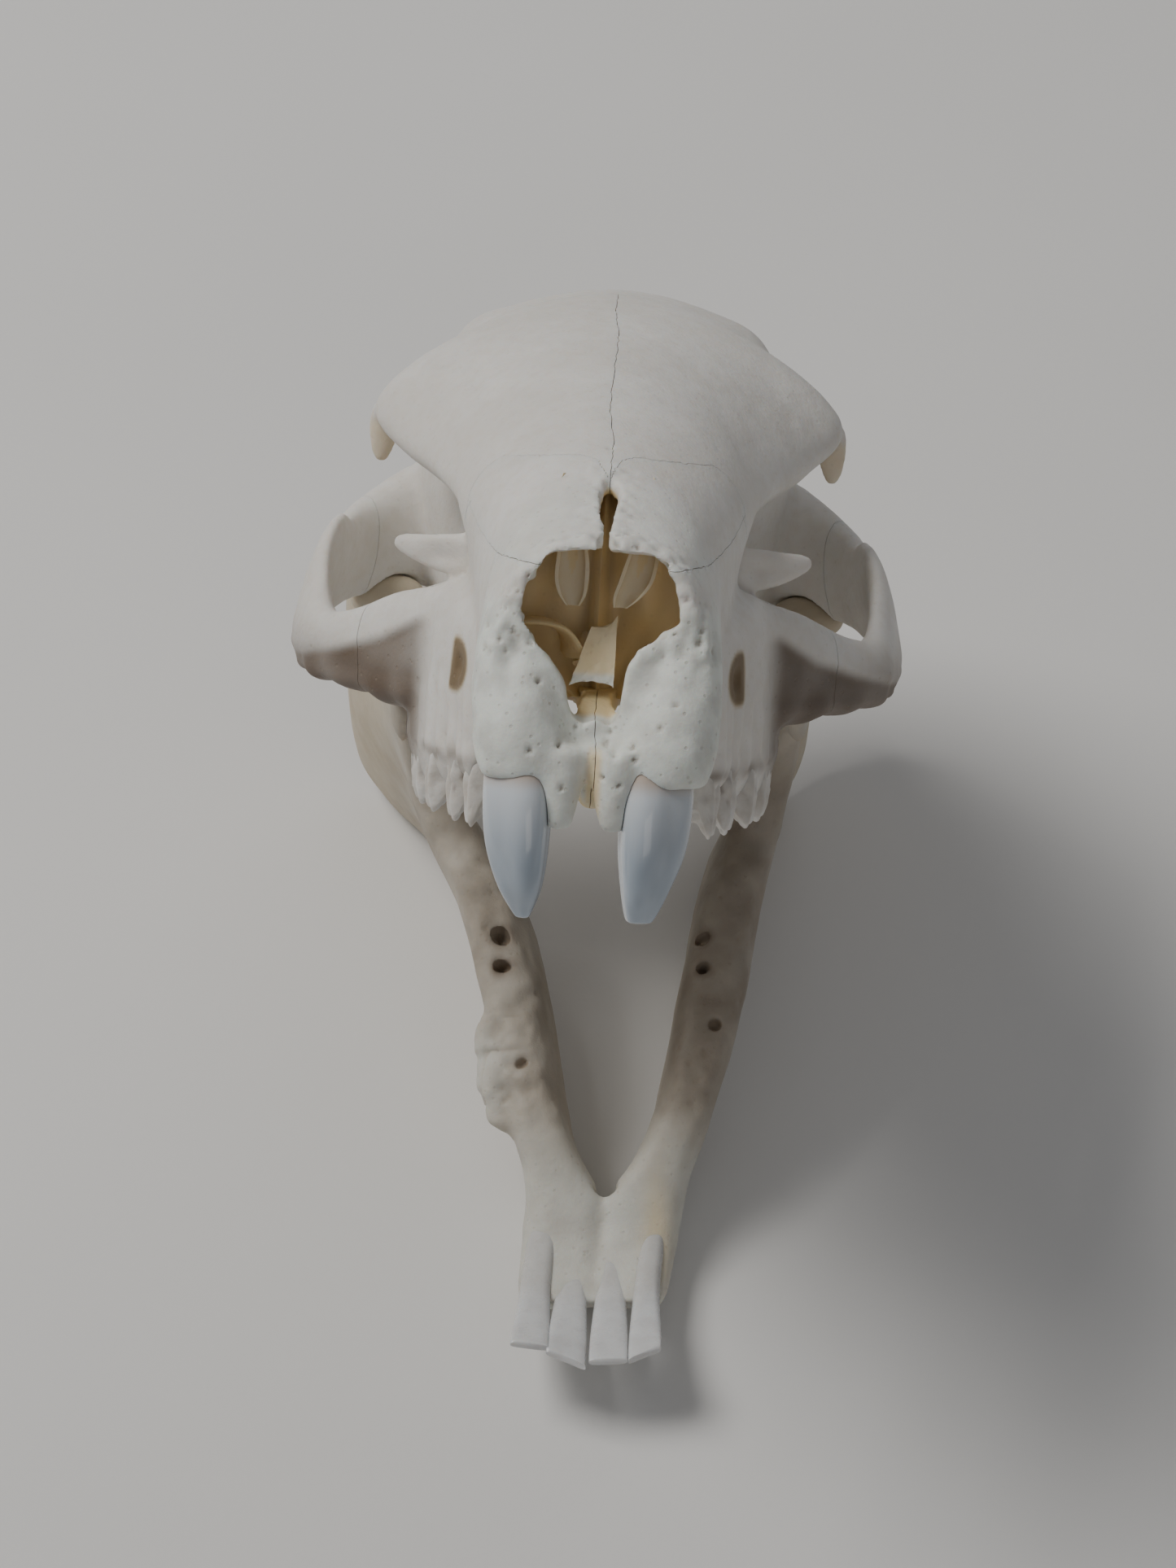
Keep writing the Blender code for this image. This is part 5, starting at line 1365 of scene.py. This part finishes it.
def stage():
    """Pale floor and soft light, the strongest from the upper left."""
    made = Nodes("floor_look")
    colour = made.mix(made.noise(40.0), *FLOOR)
    look = made.finish(Base_Color=colour, Roughness=0.7, Normal=made.bump(made.noise(0.8), 0.02))
    bpy.ops.mesh.primitive_plane_add(size=FLOOR_SIZE, location=(0, 0.4, 0))
    floor = bpy.context.active_object
    floor.name = "floor"
    floor.data.materials.append(look)
    world = bpy.data.worlds.new("studio")
    bpy.context.scene.world = world
    world.use_nodes = True
    around = world.node_tree.nodes["Background"].inputs
    around["Color"].default_value = AROUND
    around["Strength"].default_value = AROUND_STRENGTH
    for name, place, size, power, colour in LIGHTS:
        light = bpy.data.lights.new(name, "AREA")
        light.size, light.energy, light.color = size, power, colour
        lamp = bpy.data.objects.new(name, light)
        lamp.location = place
        lamp.rotation_euler = (Vector(LIT_POINT) - Vector(place)).to_track_quat("-Z", "Y").to_euler()
        bpy.context.scene.collection.objects.link(lamp)


def camera():
    """Looks down into the opened jaws along the line the photograph was taken on."""
    away = FOCAL / PX_PER_MM
    tilt = math.radians(CAMERA_TILT)
    ahead = Vector((0, math.cos(tilt), -math.sin(tilt)))
    up = Vector((0, math.sin(tilt), math.cos(tilt)))
    facing = Matrix((Vector((1, 0, 0)), up, -ahead)).transposed().to_4x4()
    turn = Matrix.Rotation(math.radians(FLOOR_SLOPE - GAPE), 4, "X")
    centre = turn @ (Vector(TARGET) * MM - JOINT - ahead * away * MM) + HINGE
    data = bpy.data.cameras.new("camera")
    data.sensor_fit = "VERTICAL"
    data.sensor_height = SENSOR
    data.lens = FOCAL / PHOTO_HEIGHT * SENSOR
    data.clip_start = 0.01
    eye = bpy.data.objects.new("camera", data)
    eye.matrix_world = Matrix.Translation(centre) @ turn @ facing
    bpy.context.scene.collection.objects.link(eye)
    bpy.context.scene.camera = eye


# How the two halves are turned about the joint, and where the joint is: in their own frame, and in the
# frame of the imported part
CRANIUM_TURN = (Matrix.Rotation(math.radians(FLOOR_SLOPE - GAPE), 4, "X")
                @ Matrix.Rotation(math.radians(CRANIUM_ROLL), 4, "Y"))
MANDIBLE_TURN = Matrix.Rotation(math.radians(FLOOR_SLOPE), 4, "X")
JOINT = Vector((0, JOINT_Y, JOINT_Z)) * MM
HINGE = find_hinge()

build()
stage()
camera()
